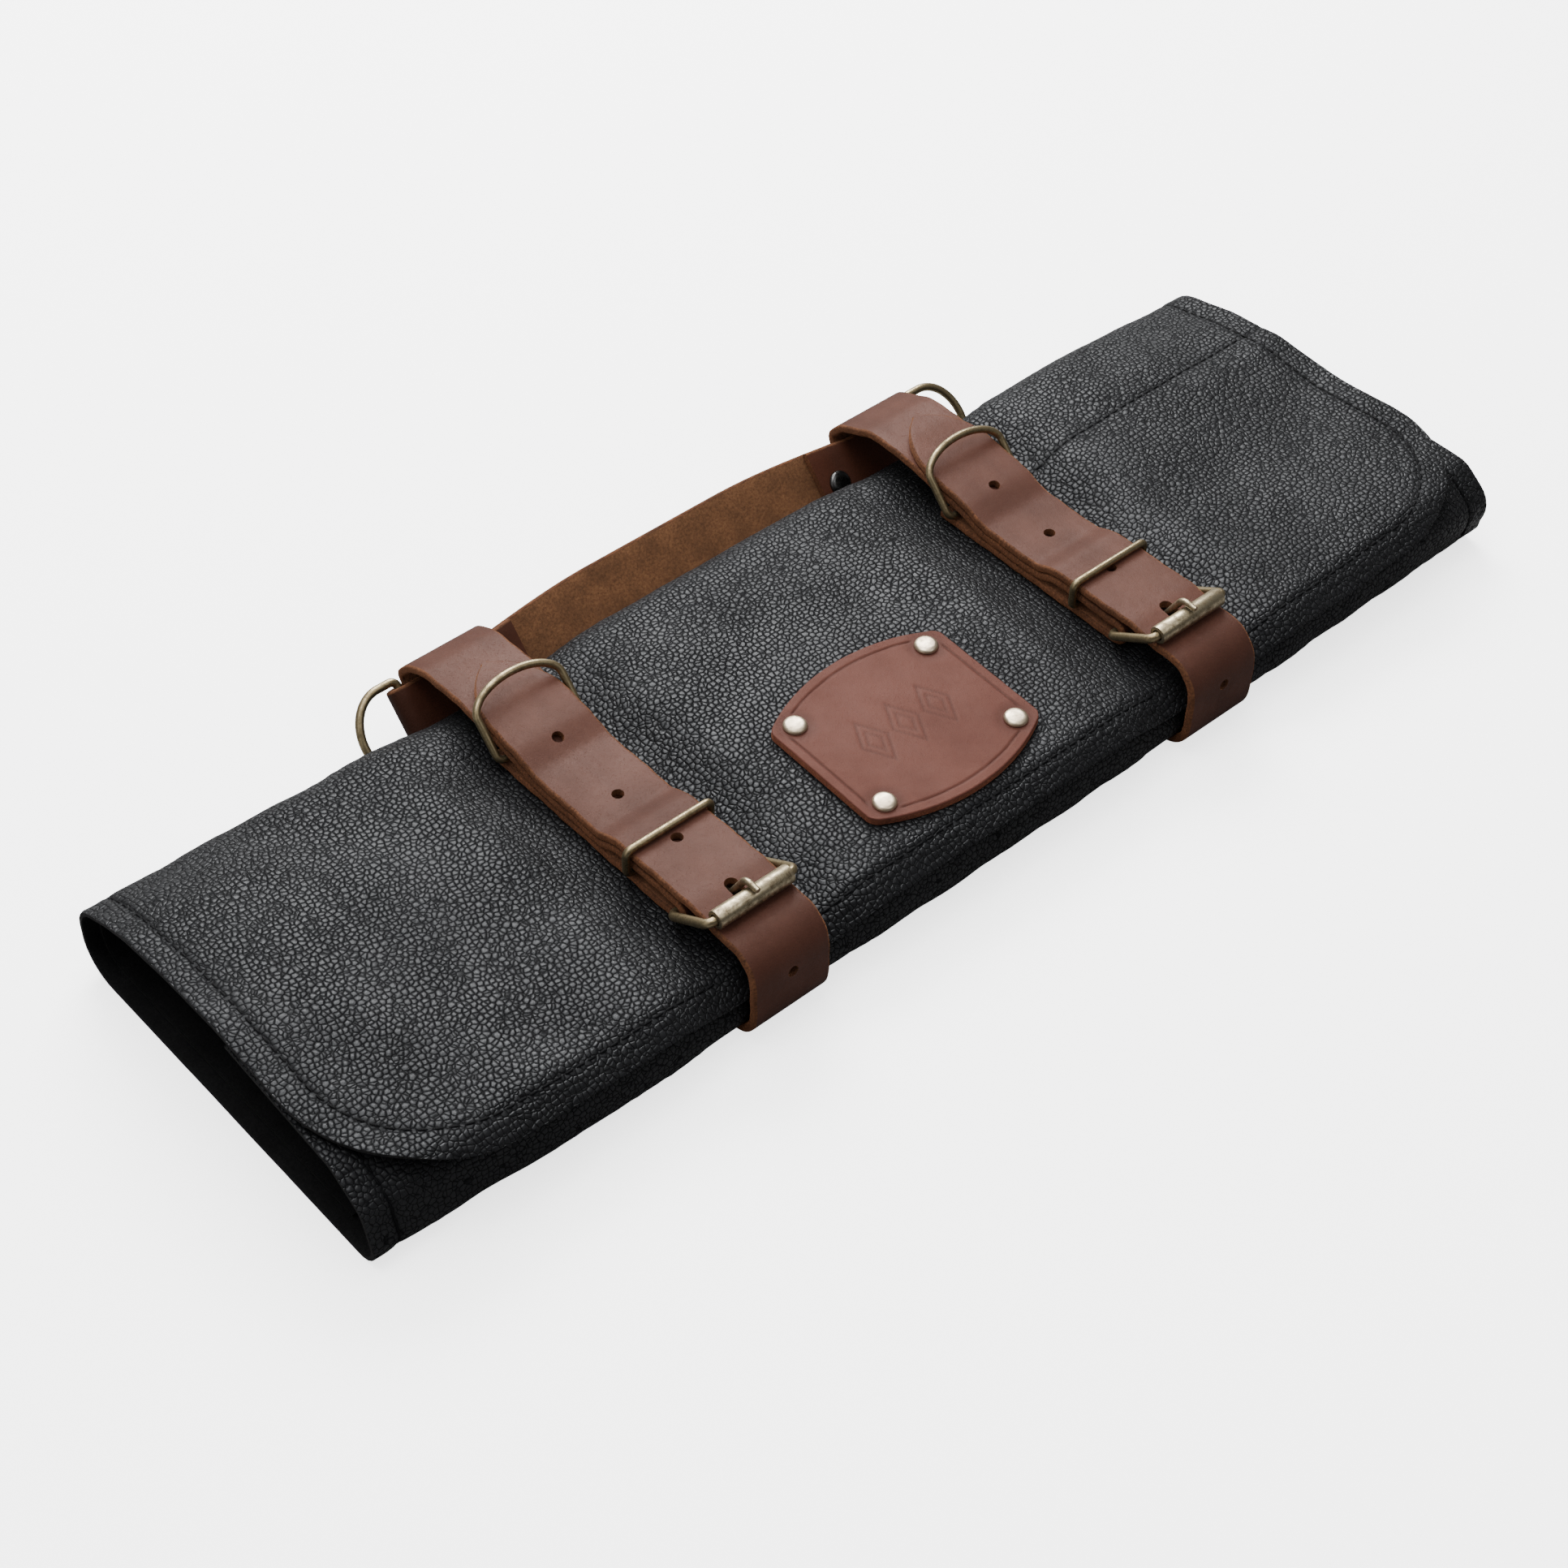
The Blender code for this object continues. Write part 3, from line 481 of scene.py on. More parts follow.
def suede(name, low, high, scale=1500.0, stretch=None, lift=0.00035, nap=0.35):
    """Fibrous flesh side or cut edge of leather."""
    n = Nodes(bpy.data.materials.new(name))
    fibre = n.noise(scale, 6.0, 0.72, stretch=stretch)
    patchy = n.noise(scale / 14, 4.0, 0.6)
    base = n.mix(n.span(fibre, 0.34, 0.68), shade(low), shade(high))
    base = n.mix(n.span(patchy, 0.4, 0.7, 0.0, 0.55), base, shade(low, 0.42))
    height = n.plus(fibre, n.times(patchy, 0.5))
    return n.out(
        Base_Color=base,
        Roughness=0.93,
        Normal=n.bump(height, lift, 0.9),
        Specular_IOR_Level=0.2,
        Sheen_Weight=nap,
        Sheen_Roughness=0.5,
        Sheen_Tint=(*[min(1.0, v * 4) for v in high], 1),
    )


def smooth_leather(name, light, dark, rough=0.5, waxy=0.16):
    """Smooth tanned leather, mottled, with painted shade where it bends and with a fine grain."""
    n = Nodes(bpy.data.materials.new(name))
    cloud = n.noise(24.0, 5.0, 0.6)
    pull = n.noise(85.0, 5.0, 0.62, stretch=(1.0, 0.35, 0.35))
    speck = n.noise(2300.0, 2.0, 0.5)
    amount = n.span(n.plus(cloud, n.times(pull, 0.6)), 0.6, 1.0)
    between = [a * 0.55 + b * 0.45 for a, b in zip(light, dark)]
    base = n.mix(amount, shade(light), shade(between))
    base = n.mix(n.span(speck, 0.60, 0.78, 0.0, 0.45), base, shade(dark, 0.5))
    # Painted shade: the base turns to the dark colour where a strap bends; on the patch the same
    # bend mark darkens its pressed lines.
    bend = n.add("Attribute", attribute_name="bend").outputs["Fac"]
    base = n.mix(bend, base, shade(dark))
    grain = {"Vector": n.place, "Scale": 1500.0}
    pores = n.add("TexVoronoi", grain, feature="F1").outputs["Distance"]
    creases = n.noise(420.0, 6.0, 0.65, stretch=(1.0, 0.6, 0.6))
    height = n.plus(n.times(n.span(pores, 0.0, 0.3), 0.4), creases)
    return n.out(
        Base_Color=base,
        Roughness=n.span(cloud, 0.3, 0.75, rough - 0.06, rough + 0.12),
        Normal=n.bump(height, 0.00022, 0.9),
        Specular_IOR_Level=waxy,
        Specular_Tint=(1.0, 0.80, 0.72, 1),
    )


def old_metal(name, light, dark, rough=0.3, tarnish=0.5, scale=240.0):
    """Plated metal with tarnish in patches and fine brushing."""
    n = Nodes(bpy.data.materials.new(name))
    cloud = n.noise(scale, 5.0, 0.65)
    speck = n.noise(scale * 7, 3.0, 0.6)
    stain = n.span(n.plus(cloud, n.times(speck, 0.35)), 0.55, 0.85, 0.0, 1.0)
    base = n.mix(n.times(stain, tarnish), shade(light), shade(dark))
    scratch = n.noise(3000.0, 3.0, 0.6, stretch=(0.12, 1.0, 1.0))
    height = n.plus(n.times(cloud, 0.6), n.times(scratch, 0.25))
    return n.out(
        Base_Color=base,
        Metallic=1.0,
        Roughness=n.span(stain, 0.0, 1.0, rough, rough + 0.22),
        Normal=n.bump(height, 0.00006, 0.7),
    )


def thread(name, tint):
    """Twisted waxed thread."""
    n = Nodes(bpy.data.materials.new(name))
    strands = {"Vector": n.place, "Scale": 900.0, "Distortion": 1.5}
    twist = n.add("TexWave", strands).outputs["Fac"]
    base = n.mix(twist, shade(tint), shade(tint, 2.2))
    return n.out(
        Base_Color=base,
        Roughness=0.6,
        Normal=n.bump(twist, 0.00008, 0.6),
        Specular_IOR_Level=0.08,
    )


black = pebbled_leather("black_pebbled_leather", (0.0050, 0.0050, 0.0056))
black_edge = suede(
    "black_cut_edge", (0.004, 0.004, 0.0045), (0.015, 0.014, 0.014), 900.0, nap=0.1
)
# The flesh side's own near-black, made darker still as painted shade for the dark inside of the
# roll.
flesh_side_and_shade = suede(
    "black_flesh_side_and_shade", (0.0015, 0.0015, 0.0018), (0.006, 0.006, 0.006), 1400.0, nap=0.04
)
belt_brown = smooth_leather(
    "belt_leather", (0.066, 0.0255, 0.0170), (0.017, 0.0055, 0.0035), 0.52
)
belt_edge = suede(
    "belt_cut_edge", (0.026, 0.009, 0.004), (0.115, 0.045, 0.019), 1300.0, (0.25, 1.0, 1.0)
)
belt_back = suede("belt_flesh_side", (0.060, 0.024, 0.012), (0.150, 0.066, 0.032), 1500.0)
# The handle's own darker brown, darkened further as painted shade for the shadow that it lies in.
handle_brown_and_shade = smooth_leather(
    "handle_leather", (0.045, 0.0145, 0.008), (0.015, 0.005, 0.003), 0.52
)
handle_back = suede("handle_suede", (0.050, 0.020, 0.008), (0.135, 0.062, 0.027), 1150.0)
patch_brown = smooth_leather(
    "patch_leather", (0.078, 0.026, 0.018), (0.040, 0.013, 0.009), 0.56, 0.14
)
patch_edge = suede("patch_cut_edge", (0.040, 0.012, 0.007), (0.150, 0.050, 0.025), 1300.0)
brass = old_metal("antique_brass", (0.36, 0.29, 0.17), (0.09, 0.065, 0.035), 0.33, 0.8)
roller_brass = old_metal("worn_brass", (0.46, 0.39, 0.26), (0.11, 0.08, 0.045), 0.34, 0.9, 420.0)
pale_metal = old_metal("nickel_rivet", (0.60, 0.50, 0.37), (0.24, 0.19, 0.13), 0.3, 0.6)
dark_metal = old_metal("blackened_rivet", (0.085, 0.085, 0.085), (0.03, 0.028, 0.026), 0.22, 0.5)
black_thread = thread("black_thread", (0.0015, 0.0015, 0.0018))


# The roll ------------------------------------------------------------------------------

def belted(x):
    """1 under a belt, 0 well away from both."""
    return max(blend(42.0, 17.0, abs(x - centre)) for centre in BELT_X.values())


def towards_ends(x):
    """How near this place is to the left end and to the right end, each 0 to 1."""
    end = ROLL_LENGTH / 2
    return blend(-140.0, -end, x), blend(140.0, end, x)


def levels(x):
    """Height of the roll's top face along LEVEL_LINES_Y at this place along it."""
    left, right = towards_ends(x)
    fuller = blend(120.0, 168.0, x) * blend(232.0, 175.0, x)
    return [
        middle
        + (belt - middle) * belted(x)
        + (left_end - middle) * left
        + (right_end - middle) * right
        + fuller * (2.6 if number < 2 else 0.0)
        for number, (middle, belt, left_end, right_end) in enumerate(
            zip(MIDDLE_LEVELS, BELT_LEVELS, LEFT_END_LEVELS, RIGHT_END_LEVELS)
        )
    ]


def back_fold(x):
    """Corners of the back fold, from the bottom to the top flap."""
    left, right = towards_ends(x)
    bottom = BELT_LIFT * belted(x) + LEATHER / 2
    top = levels(x)[0] - LEATHER / 2 - 0.8 - (6.5 * left + 2.5 * right)
    y = BACK_FOLD_Y + (BELTED_BACK_FOLD_Y - BACK_FOLD_Y) * belted(x)
    radius = (top - bottom) * 0.48
    return [(y, bottom, radius), (y, top, radius)]


def flap_cut_back(x):
    """How far the outer flap's rounded corner draws its edge back at this place along it."""
    past = max(0.0, abs(x) - (ROLL_LENGTH / 2 - FLAP_CORNER))
    return FLAP_CORNER - sqrt(max(0.0, FLAP_CORNER**2 - past**2))


def section(x):
    """Middle line of the leather here, from inner flap to outer, and where the flap starts."""
    left, right = towards_ends(x)
    rounder = blend(112.0, 150.0, x)
    heights = levels(x)
    bottom = BELT_LIFT * belted(x) + LEATHER / 2
    inner = -LEATHER / 2 - LEATHER - FLAP_SEPARATION
    front = heights[5]
    front_y = FRONT_WALL_Y
    corners = [
        (INNER_FLAP_END_Y, heights[3] - 0.2 + inner, 0.0),
        (LEVEL_LINES_Y[4], heights[4] + inner, 30.0),
        (-62.0 + 8.0 * left, front - 0.3 + inner, 8.0),
        (front_y + 7.0 * left, front - 13.5 + 2.5 * belted(x), 9.0 - 3.5 * belted(x)),
        (front_y + 1.5 * left + 2.5 * right, bottom, 7.0 - 2.2 * belted(x) + 3.0 * rounder),
    ]
    corners += back_fold(x)
    first = rounded(corners + [(LEVEL_LINES_Y[0], heights[0] - LEATHER / 2, 0.0)], 8)
    corners += [(y, level - LEATHER / 2, 30.0) for y, level in zip(LEVEL_LINES_Y, heights)]
    corners.append((-69.0 + belted(x), front - 0.5 - LEATHER / 2, 10.0))
    corners.append((-76.3 + 1.6 * belted(x), front - 8.0, 0.0))
    return rounded(corners, 8), length_of(first)


class Roll:
    """The roll's middle surface, by place along it and by distance back from the flap's edge."""

    def __init__(self):
        self.cache = {}

    def line(self, x):
        key = round(x, 3)
        if key not in self.cache:
            points, start = section(x)
            self.cache[key] = (points, length_of(points), start)
        return self.cache[key]

    def at(self, x, distances):
        """Middle points, outward normals at distances from the inner flap's edge."""
        points, _, _ = self.line(x)
        found, tangent = resampled(points, distances)
        normal = np.stack([tangent[:, 1], -tangent[:, 0]], 1)
        return found, normal

    def shaped(self, x, distances):
        """Points of the outer face, with its soft waves, at distances along the section."""
        points, normal = self.at(x, distances)
        raised = LEATHER / 2 + waves(x, np.asarray(distances), self.line(x), points)
        return points + normal * raised[:, None], normal


RANDOM = np.random.default_rng(7)


def random_waves(count, along, across):
    """Waves as (turn per mm along X, turn per mm of section, phase, weight)."""
    return [
        (
            RANDOM.uniform(*along) * RANDOM.choice((-1, 1)),
            RANDOM.uniform(*across),
            RANDOM.uniform(0, 2 * pi),
            RANDOM.uniform(0.4, 1.0),
        )
        for _ in range(count)
    ]


SOFT_WAVE = 0.42
FINE_WAVE = 0.16
HOLLOW = 1.5
RIDGE = 0.7
GROOVE = 0.42
HEM_LINE = 0.55
WAVES = random_waves(22, (0.05, 0.26), (0.03, 0.22))
FINE_WAVES = random_waves(16, (0.4, 1.1), (0.25, 1.0))


def smooth(low, high, amount):
    """The same smooth step as blend, for an array."""
    t = np.clip((amount - low) / (high - low), 0, 1)
    return t * t * (3 - 2 * t)


def waves(x, along, line, points):
    """How far the outer face stands off its even thickness: soft waves, seams and dents."""
    total = line[1]
    y = points[:, 0]
    z = points[:, 1]
    soft = sum(w * np.sin(a * x + b * along + c) for a, b, c, w in WAVES) / 7.0
    fine = sum(w * np.sin(a * x + b * along + c) for a, b, c, w in FINE_WAVES) / 9.0
    from_belt = min(abs(x - centre) for centre in BELT_X.values())
    free = blend(17.5, 30.0, from_belt)
    outer = along > total - 150
    patch_x = abs(x - PATCH_CENTRE[0])
    under_patch = smooth(46, 36, patch_x) * smooth(44, 34, np.abs(y - PATCH_CENTRE[1])) * outer
    calm = free * (1 - under_patch)
    on_top = z > 18
    height = calm * (SOFT_WAVE * soft + FINE_WAVE * fine * (1 + 0.8 * blend(60, 20, from_belt)))
    # A long hollow between the belts and a soft ridge beside the lengthwise seam.
    right = blend(118.0, 165.0, x)
    height -= calm * right * outer * HOLLOW * np.exp(-(((y + 8.0) / 17.0) ** 2))
    height += calm * right * outer * RIDGE * np.exp(-(((y - 24.0) / 7.0) ** 2))
    height = np.where(on_top | outer, height, np.minimum(height, 0.25))
    # The underside never swells past the surface that it rests on.
    height = np.where(z < 3, np.minimum(height, 0.0), height)
    # Seams: the stitches pull a groove into the leather.
    for away in stitch_distances(x, total, y, along):
        height = height - GROOVE * np.exp(-((away / 1.2) ** 2)) * blend(16.0, 18.0, from_belt)
    # The folded hem shows as a line along the front wall.
    hem = blend(112.0, 122.0, x)
    wall = (along < total / 2) & (y < -66)
    height = height - hem * wall * HEM_LINE * np.exp(-(((z - 9.5) / 0.8) ** 2))
    return height


def corner_stitch(x, back):
    """Distance from the corner's arc of stitches, back from the flap's edge line."""
    past = abs(x) - (ROLL_LENGTH / 2 - FLAP_CORNER)
    return np.hypot(past, FLAP_CORNER - back) - (FLAP_CORNER - HEM)


def stitch_distances(x, total, y, along):
    """Distances from this place to each line of stitches near it."""
    back = total - along
    found = []
    past = abs(x) - (ROLL_LENGTH / 2 - FLAP_CORNER)
    near_corner = (past > 0) & (back < FLAP_CORNER)
    if past > 0:
        found.append(np.where(near_corner, corner_stitch(x, back), FAR))
    else:
        found.append(np.where(back < 40, back - HEM, FAR))
    end = abs(abs(x) - (ROLL_LENGTH / 2 - HEM))
    found.append(np.where((back >= FLAP_CORNER) & ((back < 170) | (y < -30)), end, FAR))
    if x > 84:
        found.append(np.where((back < 150) & (back > 60), y - SEAM_Y, FAR))
    return found


def make_roll():
    """The sheet of leather, and the surface that its stitches follow."""
    roll = Roll()
    half = ROLL_LENGTH / 2
    xs = list(np.linspace(-half, half, 191))
    xs += [side * (half - HEM + d) for side in (-1, 1) for d in (-1.2, -0.5, 0.5, 1.2)]
    xs += [side * (half - d) for side in (-1, 1) for d in (0.35, 1.0, 3.6)]
    xs = sorted(set(round(x, 3) for x in xs))
    inner_count = 104
    flap_count = 136
    outer = []
    inner = []
    seam_shade = []
    for x in xs:
        points, total, start = roll.line(x)
        whole = total - flap_cut_back(x)
        body = start * np.linspace(0, 1, inner_count, endpoint=False)
        flap = start + (whole - start) * np.linspace(0, 1, flap_count)
        distances = np.concatenate([body, flap])
        middle, normal = roll.at(x, distances)
        shaped, _ = roll.shaped(x, distances)
        ends = np.minimum(1, (np.minimum(distances, whole - distances) + 0.15) / 0.9)
        side_end = min(1.0, (half - abs(x) + 0.15) / 0.9)
        soft = 1 - (1 - np.sqrt(np.clip(ends, 0, 1) * max(0.0, side_end))) * 0.45
        out = middle + (shaped - middle) * soft[:, None]
        back = middle - normal * (LEATHER / 2 * soft)[:, None]
        # Closeness to the lines of stitches, stored as the seam mark that the leather's material
        # darkens as painted shade in their grooves.
        away = stitch_distances(x, total, middle[:, 0], distances)
        seam_shade.append(np.exp(-((np.min(np.abs(away), axis=0) / 1.1) ** 2)))
        outer.append(np.column_stack([np.full(len(out), x), out]))
        inner.append(np.column_stack([np.full(len(back), x), back]))
    points = np.concatenate(outer + inner)
    faces, picks = slab_faces(len(xs), inner_count + flap_count)
    looks = [black, flesh_side_and_shade, black_edge]
    leather = mesh_object("roll_leather", points, faces, looks, picks, 60)
    mark(leather, "seam", np.concatenate(seam_shade + [np.zeros_like(s) for s in seam_shade]))
    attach(leather, "roll")
    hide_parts("leather_shell")
    longest = max(roll.line(x)[1] for x in xs[::10])
    return roll


def stitches(name, paths, look):
    """Short threads that dip into the leather, along paths of (point, normal)."""
    points = []
    faces = []
    sides = 8
    shape = [(-1.0, 0.25), (-0.86, 0.75), (-0.45, 1.0), (0.45, 1.0), (0.86, 0.75), (1.0, 0.25)]
    for path in paths:
        for (a, normal_a), (b, normal_b) in zip(path, path[1:]):
            along = b - a
            reach = along.length / 2 * STITCH_REACH
            along.normalize()
            normal = (normal_a + normal_b).normalized()
            across = along.cross(normal).normalized()
            normal = across.cross(along)
            faces += tube_faces(sides, len(shape), len(points))
            for t, radius in shape:
                sink = 0.35 * abs(t) ** 3
                for k in range(sides):
                    angle = 2 * pi * k / sides
                    wide = STITCH_HALF_WIDTH * radius * cos(angle)
                    high = STITCH_HALF_HEIGHT * radius * sin(angle) + 0.02 - sink
                    points.append((a + b) / 2 + along * reach * t + across * wide + normal * high)
    made = mesh_object(name, points, faces, [look], sharp=80)
    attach(made, "roll")


def make_stitches(roll):
    """Threads along the flap's front, its corners and ends, and the lengthwise seam."""
    pitch = STITCH_PITCH
    straight = ROLL_LENGTH / 2 - FLAP_CORNER
    radius = FLAP_CORNER - HEM
    steps = int(radius * pi / 2 / pitch)

    def spot(x, back):
        total = roll.line(x)[1]
        point, normal = roll.shaped(x, [total - back])
        facing = Vector((0, normal[0, 0], normal[0, 1]))
        return Vector((x, point[0, 0], point[0, 1])) + facing * 0.12, facing

    runs = [[spot(x, HEM) for x in np.arange(-straight, straight + 0.1, pitch)]]
    for side in (-1, 1):
        arc = []
        for k in range(steps + 1):
            angle = pi / 2 * k / steps
            x = side * (straight + radius * sin(angle))
            arc.append(spot(x, FLAP_CORNER - radius * cos(angle)))
        x = side * (ROLL_LENGTH / 2 - HEM)
        total = roll.line(x)[1]
        arc += [spot(x, back) for back in np.arange(FLAP_CORNER + pitch, total - 14, pitch)]
        runs.append(arc)
        # The end's stitches on the front wall, past the outer flap's rounded corner.
        edge_y = roll.at(x, [total - flap_cut_back(x)])[0][0, 0]
        run = []
        for along in np.arange(6.0, total / 2, pitch):
            y, z = roll.at(x, [along])[0][0]
            if y < edge_y - 4 and z > 5:
                run.append(spot(x, total - along))
        runs.append(run)
    seam = []
    for x in np.arange(BELT_X["right"] + 17.5, ROLL_LENGTH / 2 - HEM, pitch):
        total = roll.line(x)[1]
        distances = np.linspace(total - 150, total - 60, 400)
        off_seam = np.abs(roll.at(x, distances)[0][:, 0] - SEAM_Y)
        seam.append(spot(x, total - distances[np.argmin(off_seam)]))
    runs.append(seam)
    kept = []
    for run in runs:
        piece = []
        for point, normal in run:
            if min(abs(point.x - centre) for centre in BELT_X.values()) < BELT_WIDTH / 2 + 2.5:
                kept.append(piece)
                piece = []
            else:
                piece.append((point, normal))
        kept.append(piece)
    stitches("roll_stitches", [piece for piece in kept if len(piece) > 1], black_thread)


# Straps --------------------------------------------------------------------------------

EDGE = 0.8  # rounding of a strap's cut edges


def cross_section(half, thickness):
    """Outline of a strap's cross-section (u, v, kind), kind 0 outside, 1 edge, 2 inside."""
    edge = min(EDGE, half * 0.6)
    flat = half - edge
    high = thickness / 2
    outline = []
    for side, kind in ((1, 0), (-1, 2)):
        outline += [(side * flat * (1 - 2 * k / 6), side * high, kind) for k in range(6)]
        for end, start, count in ((side, side, 5), (-side, side + 1, 4)):
            for k in range(count):
                angle = pi / 2 * (start + k / 4)
                u = edge * cos(angle) - side * flat
                outline.append((u, end * (high - EDGE) + EDGE * sin(angle), 1))
    return outline


def strap(name, rows, looks):
    """A strap from rows (centre, across, outward, half width, bend), in millimetres; the bend sets
    its painted shade.
    """
    points = []
    bends = []
    for centre, across, outward, half, bend in rows:
        outline = cross_section(half, STRAP)
        for u, v, _ in outline:
            points.append(centre + across * u + outward * v)
            bends.append(bend)
    kinds = [kind for *_, kind in outline]
    faces = tube_faces(len(outline), len(rows))
    picks = kinds * (len(rows) - 1) + [1, 1]
    made = mesh_object(name, points, faces, looks, picks, 50)
    # How much the strap bends at each point, which its material paints as shade.
    mark(made, "bend", bends)
    return made


def back_run(distance):
    """The point (y, z) this far up the belts' straight run behind the roll."""
    return (
        BACK_RUN_FOOT[0] + sin(BACK_RUN_LEAN) * distance,
        BACK_RUN_FOOT[1] + cos(BACK_RUN_LEAN) * distance,
    )


def strap_corners(side):
    """The belt's middle line in the YZ plane, from its folded end round the roll to its tip."""
    ring = D_RING_Y[side]
    arch = ARCH_Z[side]
    lower = RETURN_LAYER_Z
    heel_top = HEEL_Z + FOLD_RADIUS
    flat = lower + LAYER_PITCH
    over_bar = lower + STRAP + WIRE + 2 * GAP
    turn_y = HEEL_Y - FOLD_RADIUS
    arch_low = back_run(BACK_RUN)
    foot = back_run((BOTTOM_RUN_Z - BACK_RUN_FOOT[1]) / cos(BACK_RUN_LEAN))
    return [
        (ring + 6.0, lower, 0.0),
        (turn_y, lower, FOLD_RADIUS),
        (turn_y, heel_top, FOLD_RADIUS),
        (-16.0, heel_top, 9.0),
        (-8.0, flat, 9.0),
        (ring - 14.0, flat, 12.0),
        (ring - 5.0, over_bar, 8.0),
        (60.0, arch, 30.0),
        (ARCH_Y[side], arch - 0.4, 14.0),
        (arch_low[0] - 5.6, arch_low[1] + 6.6, 9.0),
        (arch_low[0], arch_low[1], 3.0),
        (foot[0], foot[1], 7.0),
        (FRONT_RUN_Y, BOTTOM_RUN_Z, 10.0),
        (FRONT_RUN_Y, FRONT_BAR_Z - 5.1, 11.5),
        (-62.0, FRONT_BAR_Z - 5.1, 14.0),
        (-50.0, heel_top + LAYER_PITCH + 0.9, 14.0),
        (-15.5, heel_top + LAYER_PITCH + 0.1, 9.0),
        (-7.5, flat + LAYER_PITCH, 9.0),
        (ring - 14.5, flat + LAYER_PITCH, 12.0),
        (ring - 5.5, over_bar + LAYER_PITCH + 0.1, 8.0),
        (60.0, arch + LAYER_PITCH + 0.1, 30.0),
        (STRAP_TIP_Y, arch + LAYER_PITCH + 0.1, 0.0),
    ]


def on_top_layer(side, y):
    """Height and slope of the strap's top layer here."""
    corners = strap_corners(side)[-7:]
    for here, there in zip(corners, corners[1:]):
        if here[0] <= y < there[0]:
            rise = (there[1] - here[1]) / (there[0] - here[0])
            return here[1] + rise * (y - here[0]), atan(rise)


def fold_rivet_ys(side):
    return (-1.5, D_RING_Y[side] - 19.5)


def spread_bends(tangent, reach):
    """How much a strap bends at each of its places, spread over its neighbours."""
    turning = np.linalg.norm(np.gradient(tangent, axis=0), axis=1)
    return np.convolve(np.clip(turning * 3.0, 0, 1), np.ones(reach) / reach, "same")


def make_strap(side):
    """A belt, with its holes."""
    x = BELT_X[side]
    line = rounded(strap_corners(side), 12)
    total = length_of(line)
    taper = 24.0
    distances = list(np.arange(0, total - taper, 1.6))
    distances += list(total - taper * (1 - np.linspace(0, 1, 26) ** 0.8))
    found, tangent = resampled(line, distances)
    rows = []
    # The bend of each row sets the painted shade on the belt's curves.
    for distance, point, run, bend in zip(distances, found, tangent, spread_bends(tangent, 7)):
        t = max(0.0, 1 - (total - distance) / taper)
        half = BELT_WIDTH / 2 * max(0.04, (1 - t**2.1)) ** 0.72
        outward = Vector((0, run[1], -run[0]))
        wobble = 0.12 * sin(distance * 0.31) + 0.08 * sin(distance * 0.83 + 1)
        centre = Vector((x + wobble * (1 - t), point[0], point[1]))
        rows.append((centre, Vector((1, 0, 0)), outward, half, min(1.0, bend * 0.8)))
    made = strap(f"belt_{side}", rows, [belt_back, belt_edge, belt_brown])
    cut(made, strap_holes(side), belt_edge)
    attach(made, "roll")
    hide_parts(f"belt_strap_{side}")
    return made


def strap_holes(side):
    """The strap's holes: for the prong, for adjustment, and for its two fold rivets."""
    x = BELT_X[side]
    up = (0, 0, 1)
    height, slope = on_top_layer(side, FIRST_HOLE_Y[side])
    tilt = (0, -sin(slope), cos(slope))
    shapes = [
        cylinder(place, axis, HOLE / 2, low, high)
        for place, axis, low, high in (
            ((x, HOLE_Y[0], RETURN_LAYER_Z + 2 * LAYER_PITCH), up, -1.6, 3.5),
            ((x, HOLE_Y[1], HEEL_Z + FOLD_RADIUS + LAYER_PITCH), up, -1.6, 3.5),
            ((x, FIRST_HOLE_Y[side], height), tilt, -1.6, 3.0),
            ((x, FRONT_RUN_Y, FRONT_HOLE_Z), (0, 1, 0), -2.5, 2.5),
        )
    ]
    oblong = []
    for k in range(24):
        angle = 2 * pi * k / 24
        end = PRONG_HOLE_REACH * copysign(1.0, sin(angle + 1e-6))
        y = PRONG_HOLE_Y + end + PRONG_HOLE * sin(angle)
        oblong.append((x + PRONG_HOLE * cos(angle), y))
    shapes.append(prism(oblong, 34.0, 39.2))
    slot = [(x - 3.2, -50.5), (x + 3.2, -50.5), (x + 3.2, -38.5), (x - 3.2, -38.5)]
    heel_top = HEEL_Z + FOLD_RADIUS + STRAP / 2
    shapes.append(prism(slot, RETURN_LAYER_Z - 3.0, heel_top + 0.1))
    low = RETURN_LAYER_Z - STRAP / 2
    for y in fold_rivet_ys(side):
        shapes.append(cylinder((x, y, 0), up, 4.1, low - 0.2, low + 2 * STRAP + GAP + 0.2))
    return shapes


# Metal pieces --------------------------------------------------------------------------

def d_ring_points(half, straight, height, corner=2.4):
    """The middle line of a D-ring, its straight bar on the U axis and its bow towards +V."""
    turn = []
    for k in range(8):
        angle = pi / 2 * k / 7
        turn.append((half - corner + corner * sin(angle), corner * (1 - cos(angle))))
    bow = []
    for k in range(45):
        angle = pi * k / 44
        bow.append((half * cos(angle), straight + (height - straight) * sin(angle)))
    return [(-u, v) for u, v in reversed(turn)] + turn + bow


def box_loop(half_width, half_height, radius, steps=7):
    """A closed rectangle with rounded corners, as points (u, v)."""
    points = []
    for k, (su, sv) in enumerate(((1, 1), (-1, 1), (-1, -1), (1, -1))):
        for step in range(steps + 1):
            angle = pi / 2 * (k + step / steps)
            u = su * (half_width - radius) + radius * cos(angle)
            points.append((u, sv * (half_height - radius) + radius * sin(angle)))
    return points


def fitted(made, node, body):
    """Puts a piece on its body in place of its CAD node."""
    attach(made, body)
    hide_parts(node)


